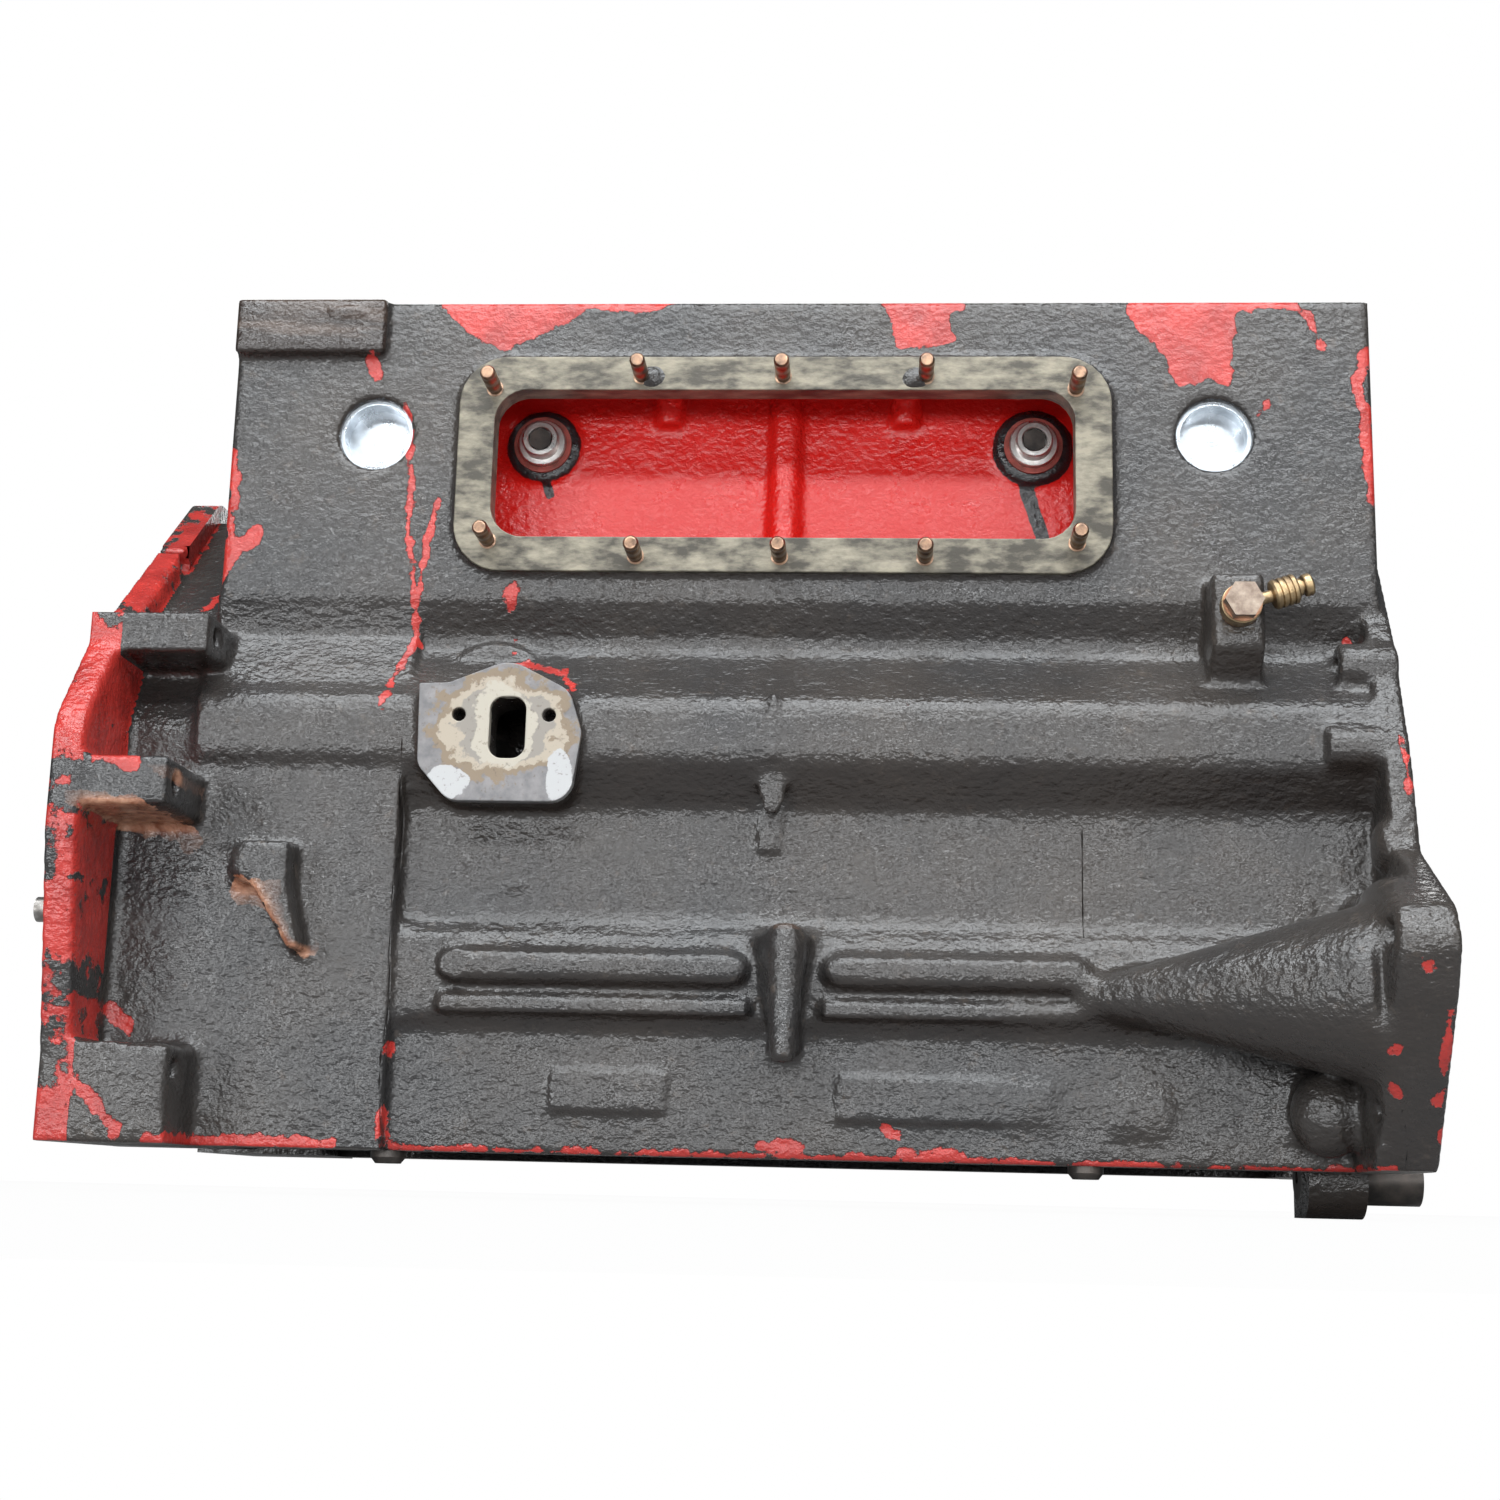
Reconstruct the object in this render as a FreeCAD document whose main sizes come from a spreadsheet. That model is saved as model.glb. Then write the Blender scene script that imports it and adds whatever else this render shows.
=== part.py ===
import FreeCAD, Part
import Sketcher
import os
import re
from FreeCAD import Placement, Rotation, Vector

# Bare block of a four-cylinder in-line diesel engine, in millimetres.
# X runs along the crankshaft to the front (timing) end, Z up to the cylinder head, and the
# camshaft side faces -Y. The origin is on the crankshaft line at the middle main bearing.

doc = FreeCAD.newDocument("engine_block")
sheet = doc.addObject("Spreadsheet::Sheet", "Sizes")

SIZES = {
    # cylinders and crankshaft line
    "cylinder_pitch": 127,
    "cylinder_bore": 98.4,
    "liner_wall": 2.4,
    "liner_length": 222,
    "liner_lip": 1.6,
    "liner_lip_depth": 3.2,
    "barrel_wall": 8,
    "main_bore": 81,
    "main_width": 30,
    "end_main_width": 36,
    "crank_swing": 112,
    # overall block
    "deck_height": 352.6,
    "sump_drop": 88.6,
    "half_deck": 295,
    "camshaft_wall": 125,
    "far_wall": 90,
    "deck_plate": 14,
    "wall": 8,
    # side below the upper wall
    "valley_depth": 13,
    "valley_height": 167,
    "upper_wall_foot": 191,
    "camshaft_bulge": 147,
    "lower_wall": 129,
    "ridge_wall": 138,
    "panel_wall": 132,
    "ridge_height": 16,
    "panel_height": -30,
    "rail_thickness": 12,
    "rail_wall": 140,
    "skirt_wall": 128,
    "rail_bar_from": -167,
    "rail_bar_to": 149,
    "rail_bar_wall": 147,
    "rail_bar_height": 1,
    "rail_bar_radius": 7.5,
    "strip_wall": 143,
    "strip_height": -17.5,
    "strip_radius": 4.5,
    # camshaft tunnel and tappets
    "camshaft_offset": 103,
    "camshaft_height": 115,
    "camshaft_bore": 50,
    "camshaft_clearance": 31,
    "lobe_space": 84,
    "tappet_bore": 19,
    "tappet_spacing": 38,
    "pushrod_bore": 20,
    # tappet chest
    "chest_middle": -5.5,
    "chest_height": 262,
    "opening_length": 300,
    "opening_height": 80.4,
    "opening_corner": 16.5,
    "frame_length": 336,
    "frame_height": 115.5,
    "frame_corner": 25,
    "frame_proud": 5,
    "chest_wall": 7.8,
    "chest_back": 78,
    "chest_length": 330,
    "chest_floor": 198,
    "chest_ceiling": 322,
    "chest_rib_radius": 9,
    "chest_rib_place": -6,
    # water jacket and core plugs
    "jacket_skin": 7,
    "jacket_floor": 160,
    "jacket_length": 530,
    "plug_middle": -1.75,
    "plug_reach": 217,
    "plug_height": 280,
    "plug_bore": 38.5,
    "plug_recess": 5,
    "plug_cup": 12.7,
    "plug_gauge": 2,
    # hex-socket plugs in the tappet chest
    "boss_reach": 131.5,
    "boss_height": 288.3,
    "boss_radius": 20,
    "boss_proud": 5,
    "socket_plug_head_radius": 12.3,
    "socket_plug_head": 10,
    "socket_plug_radius": 9,
    "socket_size": 7,
    "socket_depth": 7,
    "seal_radius": 15.5,
    "seal_thickness": 1.6,
    # cover studs
    "stud_radius": 3.97,
    "stud_root": 3.5,
    "stud_reach": 24,
    "stud_depth": 12,
    "stud_row_top": 47,
    "stud_row_end_top": 40.3,
    "stud_row_bottom": 50.1,
    "stud_row_end_bottom": 42.2,
    "stud_end_reach": 150,
    "stud_inner_reach": 73.5,
    # lift-pump pad
    "pump_face": 153,
    "pump_middle": -138.6,
    "pump_height": 115,
    "pump_bolt_spacing": 44.8,
    "pump_bolt_height": 123.3,
    "pump_bolt_radius": 3.4,
    "pump_slot_width": 18,
    "pump_slot_height": 31,
    # drain tap boss
    "tap_middle": 221.3,
    "tap_width": 26.5,
    "tap_height": 181.3,
    "tap_boss_height": 37,
    "tap_boss_face": 149,
    "tap_bolt_radius": 5,
    "tap_bolt_depth": 14,
    "tap_bolt_hex": 9.5,
    "tap_bolt_head": 7,
    "tap_washer_radius": 9.5,
    "tap_washer": 1.2,
    "tap_ring_radius": 10,
    "tap_ring_width": 9,
    "tap_arm_radius": 4.2,
    "tap_arm_length": 30,
    "tap_arm_fall": 18,
    "tap_screw_radius": 2.8,
    "tap_screw_length": 14,
    # dipstick boss
    "dipstick_place": 2.5,
    "dipstick_top": 21,
    "dipstick_face": 160,
    "dipstick_radius": 11.5,
    "dipstick_tip_radius": 6,
    "dipstick_length": 68,
    "dipstick_lean": 15,
    "dipstick_bore": 11,
    # rear flange
    "flange_face": 345,
    "flange_plate": 15,
    "flange_reach": 203,
    "flange_top": 273,
    "flange_top_half": 28,
    "flange_shoulder": 170,
    "flange_shoulder_height": 152,
    "drum_wall": 143,
    "drum_from": 190.5,
    "flange_boss_depth": 56,
    "rear_bore": 65,
    "flywheel_radius": 112,
    "flywheel_depth": 38,
    "flange_hole": 11,
    # front flange
    "front_face": 300,
    "front_plate": 13,
    "front_reach": 234,
    "front_corner_depth": 29,
    "front_recess": 52,
    "front_hole": 8.5,
    "front_boss_radius": 12,
    # main bearing caps
    "cap_half": 68,
    "cap_depth": 62,
    "cap_register": 10,
    "cap_bolt_reach": 54,
    "cap_bolt_radius": 7.9,
    "cap_bolt_grip": 62,
    "cap_bolt_thread": 42,
    "cap_bolt_head": 10,
    "cap_bolt_hex": 13.8,
    # idler arm on the front cap
    "idler_offset": 78,
    "idler_drop": 91,
    "idler_set": 0.7,
    "idler_length": 28,
    "idler_half": 32,
    "idler_bottom": 110.3,
    "idler_top": 54,
    "idler_shaft_radius": 11,
    "idler_hub_radius": 12.5,
    "idler_hub_length": 31,
    "idler_oil_radius": 3,
    # small parts and holes
    "head_bolt_bore": 12.7,
    "head_bolt_depth": 45,
    "head_bolt_reach": 66,
    "water_bore": 14,
    "dowel_radius": 6,
    "dowel_length": 22,
    "dowel_proud": 9,
    "sump_bolt_bore": 8.5,
    "sump_bolt_pitch": 132,
    "sump_bolt_depth": 18,
    "gallery_offset": 122,
    "gallery_height": 34,
    "gallery_bore": 14,
    "gallery_wall": 7,
    "gallery_plug_length": 12,
    "camshaft_plug": 4,
    "camshaft_plug_radius": 27,
    "camshaft_plug_recess": 6,
    "flange_dowel_reach": 178,
    "flange_dowel_height": 20,
    "deck_dowel_inset": 14,
    "deck_dowel_reach": 60,
    "sump_rail_line": 121,
    "sump_stud_front": 147,
    "sump_stud_rear": -191,
    "sump_stud_radius": 8.6,
    "sump_stud_tip": 6.2,
    "sump_stud_proud": 6,
    "sump_stud_depth": 20,
    "clearance": 0.05,
}

for row, (alias, value) in enumerate(SIZES.items(), start=1):
    sheet.set(f"A{row}", str(value))
    sheet.setAlias(f"A{row}", alias)
doc.recompute()

ALONG = {
    "x": Rotation(Vector(0, 1, 0), 90),
    "y": Rotation(Vector(1, 0, 0), -90),
    "z": Rotation(),
}
LOOKING = {
    "x": Rotation(Vector(0, 1, 0), Vector(0, 0, 1), Vector(1, 0, 0), "ZXY"),
    "y": Rotation(Vector(1, 0, 0), Vector(0, 0, 1), Vector(0, -1, 0), "ZXY"),
    "z": Rotation(),
}


def formula(text):
    """The sheet's own wording of a formula that is written with bare aliases."""
    return re.sub(r"[a-z_]{2,}", lambda word: "Sizes." + word.group(), str(text))


def mm(text):
    """The value of a formula, worked out by the sheet."""
    return float(sheet.evalExpression(formula(text)))


def place(item, axis_letter, value):
    item.setExpression("Placement.Base." + axis_letter, formula(value))


def box(name, x, y, z):
    """A block between two formulas along each axis."""
    item = doc.addObject("Part::Box", name)
    for side, letter, (low, high) in zip(("Length", "Width", "Height"), "xyz", (x, y, z)):
        item.setExpression(side, formula(f"({high}) - ({low})"))
        place(item, letter, low)
    return item


def rod(name, along, radius, start, end, across):
    """A cylinder along an axis; across holds its place on the two other axes, in order."""
    item = doc.addObject("Part::Cylinder", name)
    item.Placement = Placement(Vector(), ALONG[along])
    item.setExpression("Radius", formula(radius))
    item.setExpression("Height", formula(f"({end}) - ({start})"))
    others = [letter for letter in "xyz" if letter != along]
    place(item, along, start)
    for letter, value in zip(others, across):
        place(item, letter, value)
    return item


def cone(name, along, radii, start, end, across):
    item = doc.addObject("Part::Cone", name)
    item.Placement = Placement(Vector(), ALONG[along])
    item.setExpression("Radius1", formula(radii[0]))
    item.setExpression("Radius2", formula(radii[1]))
    item.setExpression("Height", formula(f"({end}) - ({start})"))
    others = [letter for letter in "xyz" if letter != along]
    place(item, along, start)
    for letter, value in zip(others, across):
        place(item, letter, value)
    return item


def hexagon(name, along, radius, start, end, across):
    item = doc.addObject("Part::Prism", name)
    item.Polygon = 6
    item.Placement = Placement(Vector(), ALONG[along])
    item.setExpression("Circumradius", formula(radius))
    item.setExpression("Height", formula(f"({end}) - ({start})"))
    others = [letter for letter in "xyz" if letter != along]
    place(item, along, start)
    for letter, value in zip(others, across):
        place(item, letter, value)
    return item


def edge_at(shape, corner, along):
    """The number of the straight edge that runs along an axis through a corner."""
    for number, edge in enumerate(shape.Edges, start=1):
        first, last = edge.Vertexes[0].Point, edge.Vertexes[-1].Point
        run = last - first
        if abs(abs(getattr(run, along)) - run.Length) > 0.001:
            continue
        gap = first - corner
        setattr(gap, along, 0)
        if gap.Length < 0.01:
            return number
    raise ValueError(f"no edge at {corner}")


def prism(name, looking, outline, start, end):
    """An outline pushed along an axis. Each corner is (across, up) or (across, up, rounding)."""
    others = {"x": "yz", "y": "xz", "z": "xy"}[looking]
    sketch = doc.addObject("Sketcher::SketchObject", name + "_outline")
    sketch.Placement = Placement(Vector(), LOOKING[looking])
    points = [Vector(mm(corner[0]), mm(corner[1]), 0) for corner in outline]
    count = len(points)
    sketch.addGeometry(
        [Part.LineSegment(points[i], points[(i + 1) % count]) for i in range(count)], False
    )
    sketch.addConstraint(
        [Sketcher.Constraint("Coincident", i, 2, (i + 1) % count, 1) for i in range(count)]
    )
    for i, corner in enumerate(outline):
        for kind, value in zip(("DistanceX", "DistanceY"), corner):
            number = sketch.addConstraint(Sketcher.Constraint(kind, -1, 1, i, 1, mm(value)))
            sketch.setExpression(f"Constraints[{number}]", formula(value))
    backwards = looking == "y"
    place(sketch, looking, end if backwards else start)
    solid = doc.addObject("Part::Extrusion", name)
    solid.Base = sketch
    solid.DirMode = "Normal"
    solid.Solid = True
    solid.setExpression("LengthFwd", formula(f"({end}) - ({start})"))
    rounded = [corner for corner in outline if len(corner) == 3]
    if not rounded:
        return solid
    doc.recompute()
    edges = []
    for corner in rounded:
        spot = Vector()
        setattr(spot, others[0], mm(corner[0]))
        setattr(spot, others[1], mm(corner[1]))
        radius = mm(corner[2])
        edges.append((edge_at(solid.Shape, spot, looking), radius, radius))
    fillet = doc.addObject("Part::Fillet", name + "_rounded")
    fillet.Base = solid
    fillet.Edges = edges
    return fillet


def fuse(name, items):
    if len(items) == 1:
        return items[0]
    item = doc.addObject("Part::MultiFuse", name)
    item.Shapes = items
    item.Refine = True
    return item


def cut(name, base, tools):
    item = doc.addObject("Part::Cut", name)
    item.Base = base
    item.Tool = fuse(name + "_tools", tools)
    item.Refine = True
    return item


def group(name, items):
    """Separate like solids in one node."""
    item = doc.addObject("Part::Compound", name)
    item.Links = items
    return item


nodes = []


def node(item, label):
    """Marks a finished piece, under the name of its file."""
    item.Label = label
    nodes.append(item)


CYLINDERS = [f"cylinder_pitch * {step}" for step in (1.5, 0.5, -0.5, -1.5)]
MAINS = [f"cylinder_pitch * {step}" for step in (2, 1, 0, -1, -2)]
SIDES = {"camshaft": "-1", "far": "1"}


# ---------------------------------------------------------------- block casting
# One iron casting. Its long body is one cross-section pushed along the crankshaft; the rear
# flange, the front plate, the pads and the bosses are cast on, and the bores are machined.

added = []

added.append(prism("long_body", "x", [
    ("-camshaft_wall", "deck_height"),
    ("-camshaft_wall", "upper_wall_foot", "9"),
    ("-camshaft_wall + valley_depth", "valley_height", "12"),
    ("-camshaft_bulge", "camshaft_height + 17", "16"),
    ("-camshaft_bulge", "camshaft_height - 11", "14"),
    ("-lower_wall", "camshaft_height - 34", "10"),
    ("-lower_wall", "ridge_height + 8", "8"),
    ("-ridge_wall", "ridge_height", "5"),
    ("-ridge_wall", "panel_height + 8", "3"),
    ("-panel_wall", "panel_height", "6"),
    ("-panel_wall", "-sump_drop"),
    ("rail_wall", "-sump_drop"),
    ("rail_wall", "-sump_drop + rail_thickness"),
    ("skirt_wall", "-sump_drop + rail_thickness + 8", "6"),
    ("skirt_wall", "70", "30"),
    ("far_wall", "128", "30"),
    ("far_wall", "deck_height"),
], "-half_deck", "half_deck"))

# Two rounded bars and a flat strip stiffen the side along the sump joint.
for side, (begin, finish) in enumerate((
    ("rail_bar_from", "dipstick_place - dipstick_radius - 6"),
    ("dipstick_place + dipstick_radius + 6", "rail_bar_to"),
)):
    added.append(prism(f"rail_bar_{side}", "y", [
        (begin, "rail_bar_height - rail_bar_radius", "rail_bar_radius * 0.98"),
        (finish, "rail_bar_height - rail_bar_radius", "rail_bar_radius * 0.98"),
        (finish, "rail_bar_height + rail_bar_radius", "rail_bar_radius * 0.98"),
        (begin, "rail_bar_height + rail_bar_radius", "rail_bar_radius * 0.98"),
    ], "-rail_bar_wall", "-camshaft_wall + 6"))
    added.append(box(
        f"strip_{side}", (begin, finish), ("-strip_wall", "-camshaft_wall + 6"),
        ("strip_height - strip_radius", "strip_height + strip_radius"),
    ))

# Tappet-chest frame, lift-pump pad, machined corner pad and drain boss.
chest_left = "chest_middle - frame_length / 2"
chest_right = "chest_middle + frame_length / 2"
chest_low = "chest_height - frame_height / 2"
chest_high = "chest_height + frame_height / 2"
added.append(prism("chest_frame", "y", [
    (chest_left, chest_low, "frame_corner"),
    (chest_right, chest_low, "frame_corner"),
    (chest_right, chest_high, "frame_corner"),
    (chest_left, chest_high, "frame_corner"),
], "-camshaft_wall - frame_proud", "-camshaft_wall + 2"))

added.append(prism("pump_pad", "y", [
    ("pump_middle - 43", "pump_height + 24"),
    ("pump_middle - 28", "pump_height + 24.5", "6"),
    ("pump_middle + 2", "pump_height + 36.5", "18"),
    ("pump_middle + 32", "pump_height + 21", "12"),
    ("pump_middle + 39", "pump_height", "14"),
    ("pump_middle + 34", "pump_height - 35", "12"),
    ("pump_middle - 26", "pump_height - 35", "12"),
    ("pump_middle - 42", "pump_height - 17", "10"),
], "-pump_face", "-camshaft_wall + 10"))

added.append(box(
    "corner_pad", ("-half_deck", "-half_deck + 80"), ("-camshaft_wall - 7", "-camshaft_wall + 2"),
    ("deck_height - 30", "deck_height"),
))

added.append(prism("tap_boss", "x", [
    ("-camshaft_wall + 14", "tap_height + tap_boss_height / 2"),
    ("-tap_boss_face", "tap_height + tap_boss_height / 2", "2"),
    ("-tap_boss_face", "tap_height - tap_boss_height / 2", "2"),
    ("-camshaft_wall - 8", "tap_height - tap_boss_height / 2 - 17"),
    ("-camshaft_wall + 14", "tap_height - tap_boss_height / 2 - 17"),
], "tap_middle - tap_width / 2", "tap_middle + tap_width / 2"))

# Dipstick boss: a leaning cone whose mouth is spot-faced at the top.
dipstick = doc.addObject("Part::Cone", "dipstick_boss")
dipstick.Placement = Placement(Vector(), Rotation(Vector(1, 0, 0), mm("180 - dipstick_lean")))
dipstick.setExpression("Radius1", formula("dipstick_radius"))
dipstick.setExpression("Radius2", formula("dipstick_tip_radius"))
dipstick.setExpression("Height", formula("dipstick_length"))
place(dipstick, "x", "dipstick_place")
place(dipstick, "y", "-dipstick_face + dipstick_radius")
place(dipstick, "z", "dipstick_top")
added.append(dipstick)
added.append(box(
    "dipstick_root", ("dipstick_place - 7", "dipstick_place + 7"),
    ("-rail_bar_wall", "-camshaft_wall + 4"), ("dipstick_top - 60", "dipstick_top - 6"),
))

# Cast side lug ahead of the rear flange, on a web that runs down to the wall.
added.append(prism("side_lug", "y", [
    ("-269", "38"), ("-258", "38"), ("-237", "5"), ("-231", "5"), ("-239", "38"), ("-239", "58"),
    ("-269", "58"),
], "-drum_wall - 20", "-drum_wall + 6"))

# ---- rear end: a broad smooth drum, a flange plate and three bolt bosses on each side
added.append(prism("rear_drum", "x", [
    ("-drum_wall", "-sump_drop"),
    ("drum_wall", "-sump_drop"),
    ("drum_wall", "118", "20"),
    ("110", "185", "30"),
    ("flange_top_half", "flange_top - 12"),
    ("-flange_top_half", "flange_top - 12"),
    ("-110", "185", "30"),
    ("-drum_wall", "118", "20"),
], "-flange_face", "-half_deck + 10"))
for name, sign in SIDES.items():
    added.append(prism(f"{name}_rear_side", "x", [
        (f"{sign} * drum_wall", "-sump_drop"),
        (f"{sign} * 90", "-sump_drop"),
        (f"{sign} * 80", "150"),
        (f"{sign} * drum_wall", "118"),
    ] if sign == "1" else [
        ("-drum_wall", "-sump_drop"),
        ("-drum_wall", "132"),
        ("-camshaft_wall + 6", "172"),
        ("-camshaft_wall + 1", "upper_wall_foot"),
        ("-90", "upper_wall_foot"),
        ("-90", "-sump_drop"),
    ], "-half_deck - 2", "-drum_from" if sign == "-1" else "-drum_from - 60"))

rear_outline = [
    ("-flange_reach + 26", "-sump_drop"),
    ("flange_reach - 26", "-sump_drop"),
    ("flange_reach", "58", "60"),
    ("flange_reach", "108", "30"),
    ("flange_shoulder", "flange_shoulder_height", "40"),
    ("flange_top_half", "flange_top", "20"),
    ("-flange_top_half", "flange_top", "20"),
    ("-flange_shoulder", "flange_shoulder_height", "40"),
    ("-flange_reach", "108", "30"),
    ("-flange_reach", "58", "60"),
]
added.append(prism(
    "rear_flange", "x", rear_outline, "-flange_face", "-flange_face + flange_plate"
))
for name, sign in SIDES.items():
    for level, (low, high, reach, depth) in enumerate((
        ("-sump_drop", "-42", "184", "flange_boss_depth + 6"),
        ("68", "92", "200", "flange_boss_depth"),
        ("150", "171", "168", "flange_boss_depth + 4"),
    )):
        near = "-" + reach if sign == "-1" else "100"
        far = "-100" if sign == "-1" else reach
        added.append(box(
            f"{name}_rear_boss_{level}", ("-flange_face", f"-flange_face + {depth}"), (near, far),
            (low, high),
        ))

# ---- front end: the timing-case plate, its bolt bosses and the swell that carries the corner
front_outline = [
    ("-176", "-sump_drop"),
    ("150", "-sump_drop"),
    ("168", "-10", "20"),
    ("150", "120", "30"),
    ("far_wall + 15", "205", "20"),
    ("60", "225"),
    ("-60", "225"),
    ("-102", "219", "10"),
    ("-131", "171", "20"),
    ("-157", "105", "20"),
    ("-167", "60", "12"),
    ("-226", "26", "8"),
    ("-front_reach", "9", "10"),
    ("-224", "-13", "10"),
]
added.append(prism("front_flange", "x", front_outline, "front_face - front_plate", "front_face"))
added.append(prism("front_corner", "x", [
    ("-176", "-sump_drop"),
    ("-120", "-sump_drop"),
    ("-120", "40"),
    ("-190", "44"),
    ("-226", "26", "8"),
    ("-front_reach", "9", "10"),
    ("-224", "-13", "10"),
], "front_face - front_corner_depth", "front_face"))
for number, (across, up, depth) in enumerate((
    ("-104", "188", 24), ("-128", "157", 29), ("-142", "113", 38), ("-153", "63", 20),
)):
    added.append(rod(
        f"camshaft_front_boss_{number}", "x", "front_boss_radius", f"front_face - {depth}",
        "front_face", (across, up),
    ))
for number, (across, up) in enumerate((
    ("100", "190"), ("134", "120"), ("152", "30"), ("146", "-60"),
)):
    added.append(rod(
        f"far_front_boss_{number}", "x", "front_boss_radius", "front_face - 28", "front_face",
        (across, up),
    ))

swell = doc.addObject("Part::Cone", "corner_swell")
swell.Placement = Placement(Vector(), Rotation(Vector(0, 0, 1), -17) * ALONG["x"])
swell.setExpression("Radius1", formula("rail_bar_radius"))
swell.setExpression("Radius2", formula("front_corner_depth * 1.5"))
swell.setExpression("Height", formula("front_face - rail_bar_to - 10"))
place(swell, "x", "rail_bar_to - 6")
place(swell, "y", "-rail_bar_wall + 10")
place(swell, "z", "-9")
added.append(swell)
added.append(rod(
    "corner_lump", "x", "front_corner_depth / 2", "front_face - front_corner_depth - 26",
    "front_face - front_corner_depth + 1", ("-panel_wall + 2", "-sump_drop + 29"),
))

# Far side: web ribs at the bulkheads, core-plug bosses and a machined accessory pad.
for number, main in enumerate(MAINS):
    added.append(prism(f"far_rib_{number}", "x", [
        ("far_wall - 4", "215"),
        ("far_wall + 2", "215"),
        ("skirt_wall + 7", "60"),
        ("skirt_wall + 7", "-sump_drop + 4"),
        ("skirt_wall - 6", "-sump_drop + 4"),
        ("skirt_wall - 6", "60"),
        ("far_wall - 4", "120"),
    ], f"{main} - 5", f"{main} + 5"))
added.append(rod(
    "gallery_swell", "x", "gallery_bore / 2 + gallery_wall", "-half_deck", "half_deck",
    ("gallery_offset", "gallery_height"),
))
added.append(box(
    "far_pad", ("-64 + 12", "64 - 12"), ("skirt_wall - 4", "skirt_wall + 16"), ("-30", "48"),
))

casting_blank = fuse("casting_blank", added)

# ---- hollows and bores
removed = []

for number, place_x in enumerate(CYLINDERS):
    removed.append(rod(
        f"liner_seat_{number}", "z", "cylinder_bore / 2 + liner_wall + clearance",
        "deck_height - liner_length - 14", "deck_height + 1", (place_x, "0"),
    ))
    removed.append(rod(
        f"liner_lip_seat_{number}", "z", "cylinder_bore / 2 + liner_wall + liner_lip + clearance",
        "deck_height - liner_lip_depth", "deck_height + 1", (place_x, "0"),
    ))
    # Crank bay: round above, where the webs swing, and open to the sump below.
    ahead = "end_main_width" if number == 0 else "main_width"
    behind = "end_main_width" if number == 3 else "main_width"
    removed.append(prism(f"crank_bay_{number}", "x", [
        ("-crank_swing", "-sump_drop - 1"),
        ("crank_swing", "-sump_drop - 1"),
        ("crank_swing", "60", "35"),
        ("68", "128", "30"),
        ("-58", "128", "20"),
        ("-camshaft_offset + 26", "80", "20"),
        ("-crank_swing", "62", "12"),
    ], f"{place_x} - (cylinder_pitch - {behind}) / 2", f"{place_x} + (cylinder_pitch - {ahead}) / 2"))
    for side, step in enumerate(("-0.5", "0.5")):
        removed.append(rod(
            f"tappet_bore_{number}_{side}", "z", "tappet_bore / 2", "camshaft_height",
            "chest_floor + 1", (f"{place_x} + tappet_spacing * {step}", "-camshaft_offset + 4"),
        ))
    # One slot in the deck for both pushrods of a cylinder.
    half_slot = "(tappet_spacing + pushrod_bore) / 2"
    removed.append(prism(f"pushrod_slot_{number}", "z", [
        (f"{place_x} - {half_slot}", "-camshaft_offset + 4 - pushrod_bore / 2", "pushrod_bore * 0.49"),
        (f"{place_x} + {half_slot}", "-camshaft_offset + 4 - pushrod_bore / 2", "pushrod_bore * 0.49"),
        (f"{place_x} + {half_slot}", "-camshaft_offset + 4 + pushrod_bore / 2", "pushrod_bore * 0.49"),
        (f"{place_x} - {half_slot}", "-camshaft_offset + 4 + pushrod_bore / 2", "pushrod_bore * 0.49"),
    ], "chest_ceiling - 1", "deck_height + 1"))

# Crankshaft line, with the flat seat and register for each cap.
removed.append(rod(
    "main_bearing_line", "x", "main_bore / 2", "-half_deck - 2", "half_deck + 8", ("0", "0")
))
for number, main in enumerate(MAINS):
    width = "end_main_width" if number in (0, 4) else "main_width"
    removed.append(box(
        f"cap_seat_{number}", (f"{main} - {width} / 2 - 0.5", f"{main} + {width} / 2 + 0.5"),
        ("-cap_half - clearance", "cap_half + clearance"), ("-sump_drop - 1", "0"),
    ))
    removed.append(box(
        f"web_foot_{number}", (f"{main} - {width} / 2 - 0.5", f"{main} + {width} / 2 + 0.5"),
        ("-crank_swing", "crank_swing"), ("-sump_drop - 1", "-cap_register"),
    ))
    for reach in ("-cap_bolt_reach", "cap_bolt_reach"):
        tag = f"{number}_{reach[0] == '-'}"
        removed.append(rod(
            f"cap_thread_{tag}", "z", "cap_bolt_radius + clearance", "-1",
            "cap_bolt_thread + 4", (main, reach),
        ))

# The end walls are slotted so that the crankshaft drops in from below.
removed.append(prism("front_slot", "x", [
    ("-camshaft_wall + 12", "-sump_drop - 1"),
    ("front_recess", "-sump_drop - 1"),
    ("front_recess", "front_recess - 2", "40"),
    ("-front_recess", "front_recess - 2", "40"),
    ("-front_recess", "-50"),
    ("-camshaft_wall + 12", "-50"),
], "cylinder_pitch * 2 + end_main_width / 2", "front_face + 1"))
removed.append(prism("rear_slot", "x", [
    ("-rear_bore", "-sump_drop - 1"),
    ("rear_bore", "-sump_drop - 1"),
    ("rear_bore", "rear_bore - 2", "50"),
    ("-rear_bore", "rear_bore - 2", "50"),
], "-flange_face - 1", "-cylinder_pitch * 2 - end_main_width / 2"))
removed.append(rod(
    "flywheel_recess", "x", "flywheel_radius", "-flange_face - 1", "-flange_face + flywheel_depth",
    ("0", "20"),
))

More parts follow.
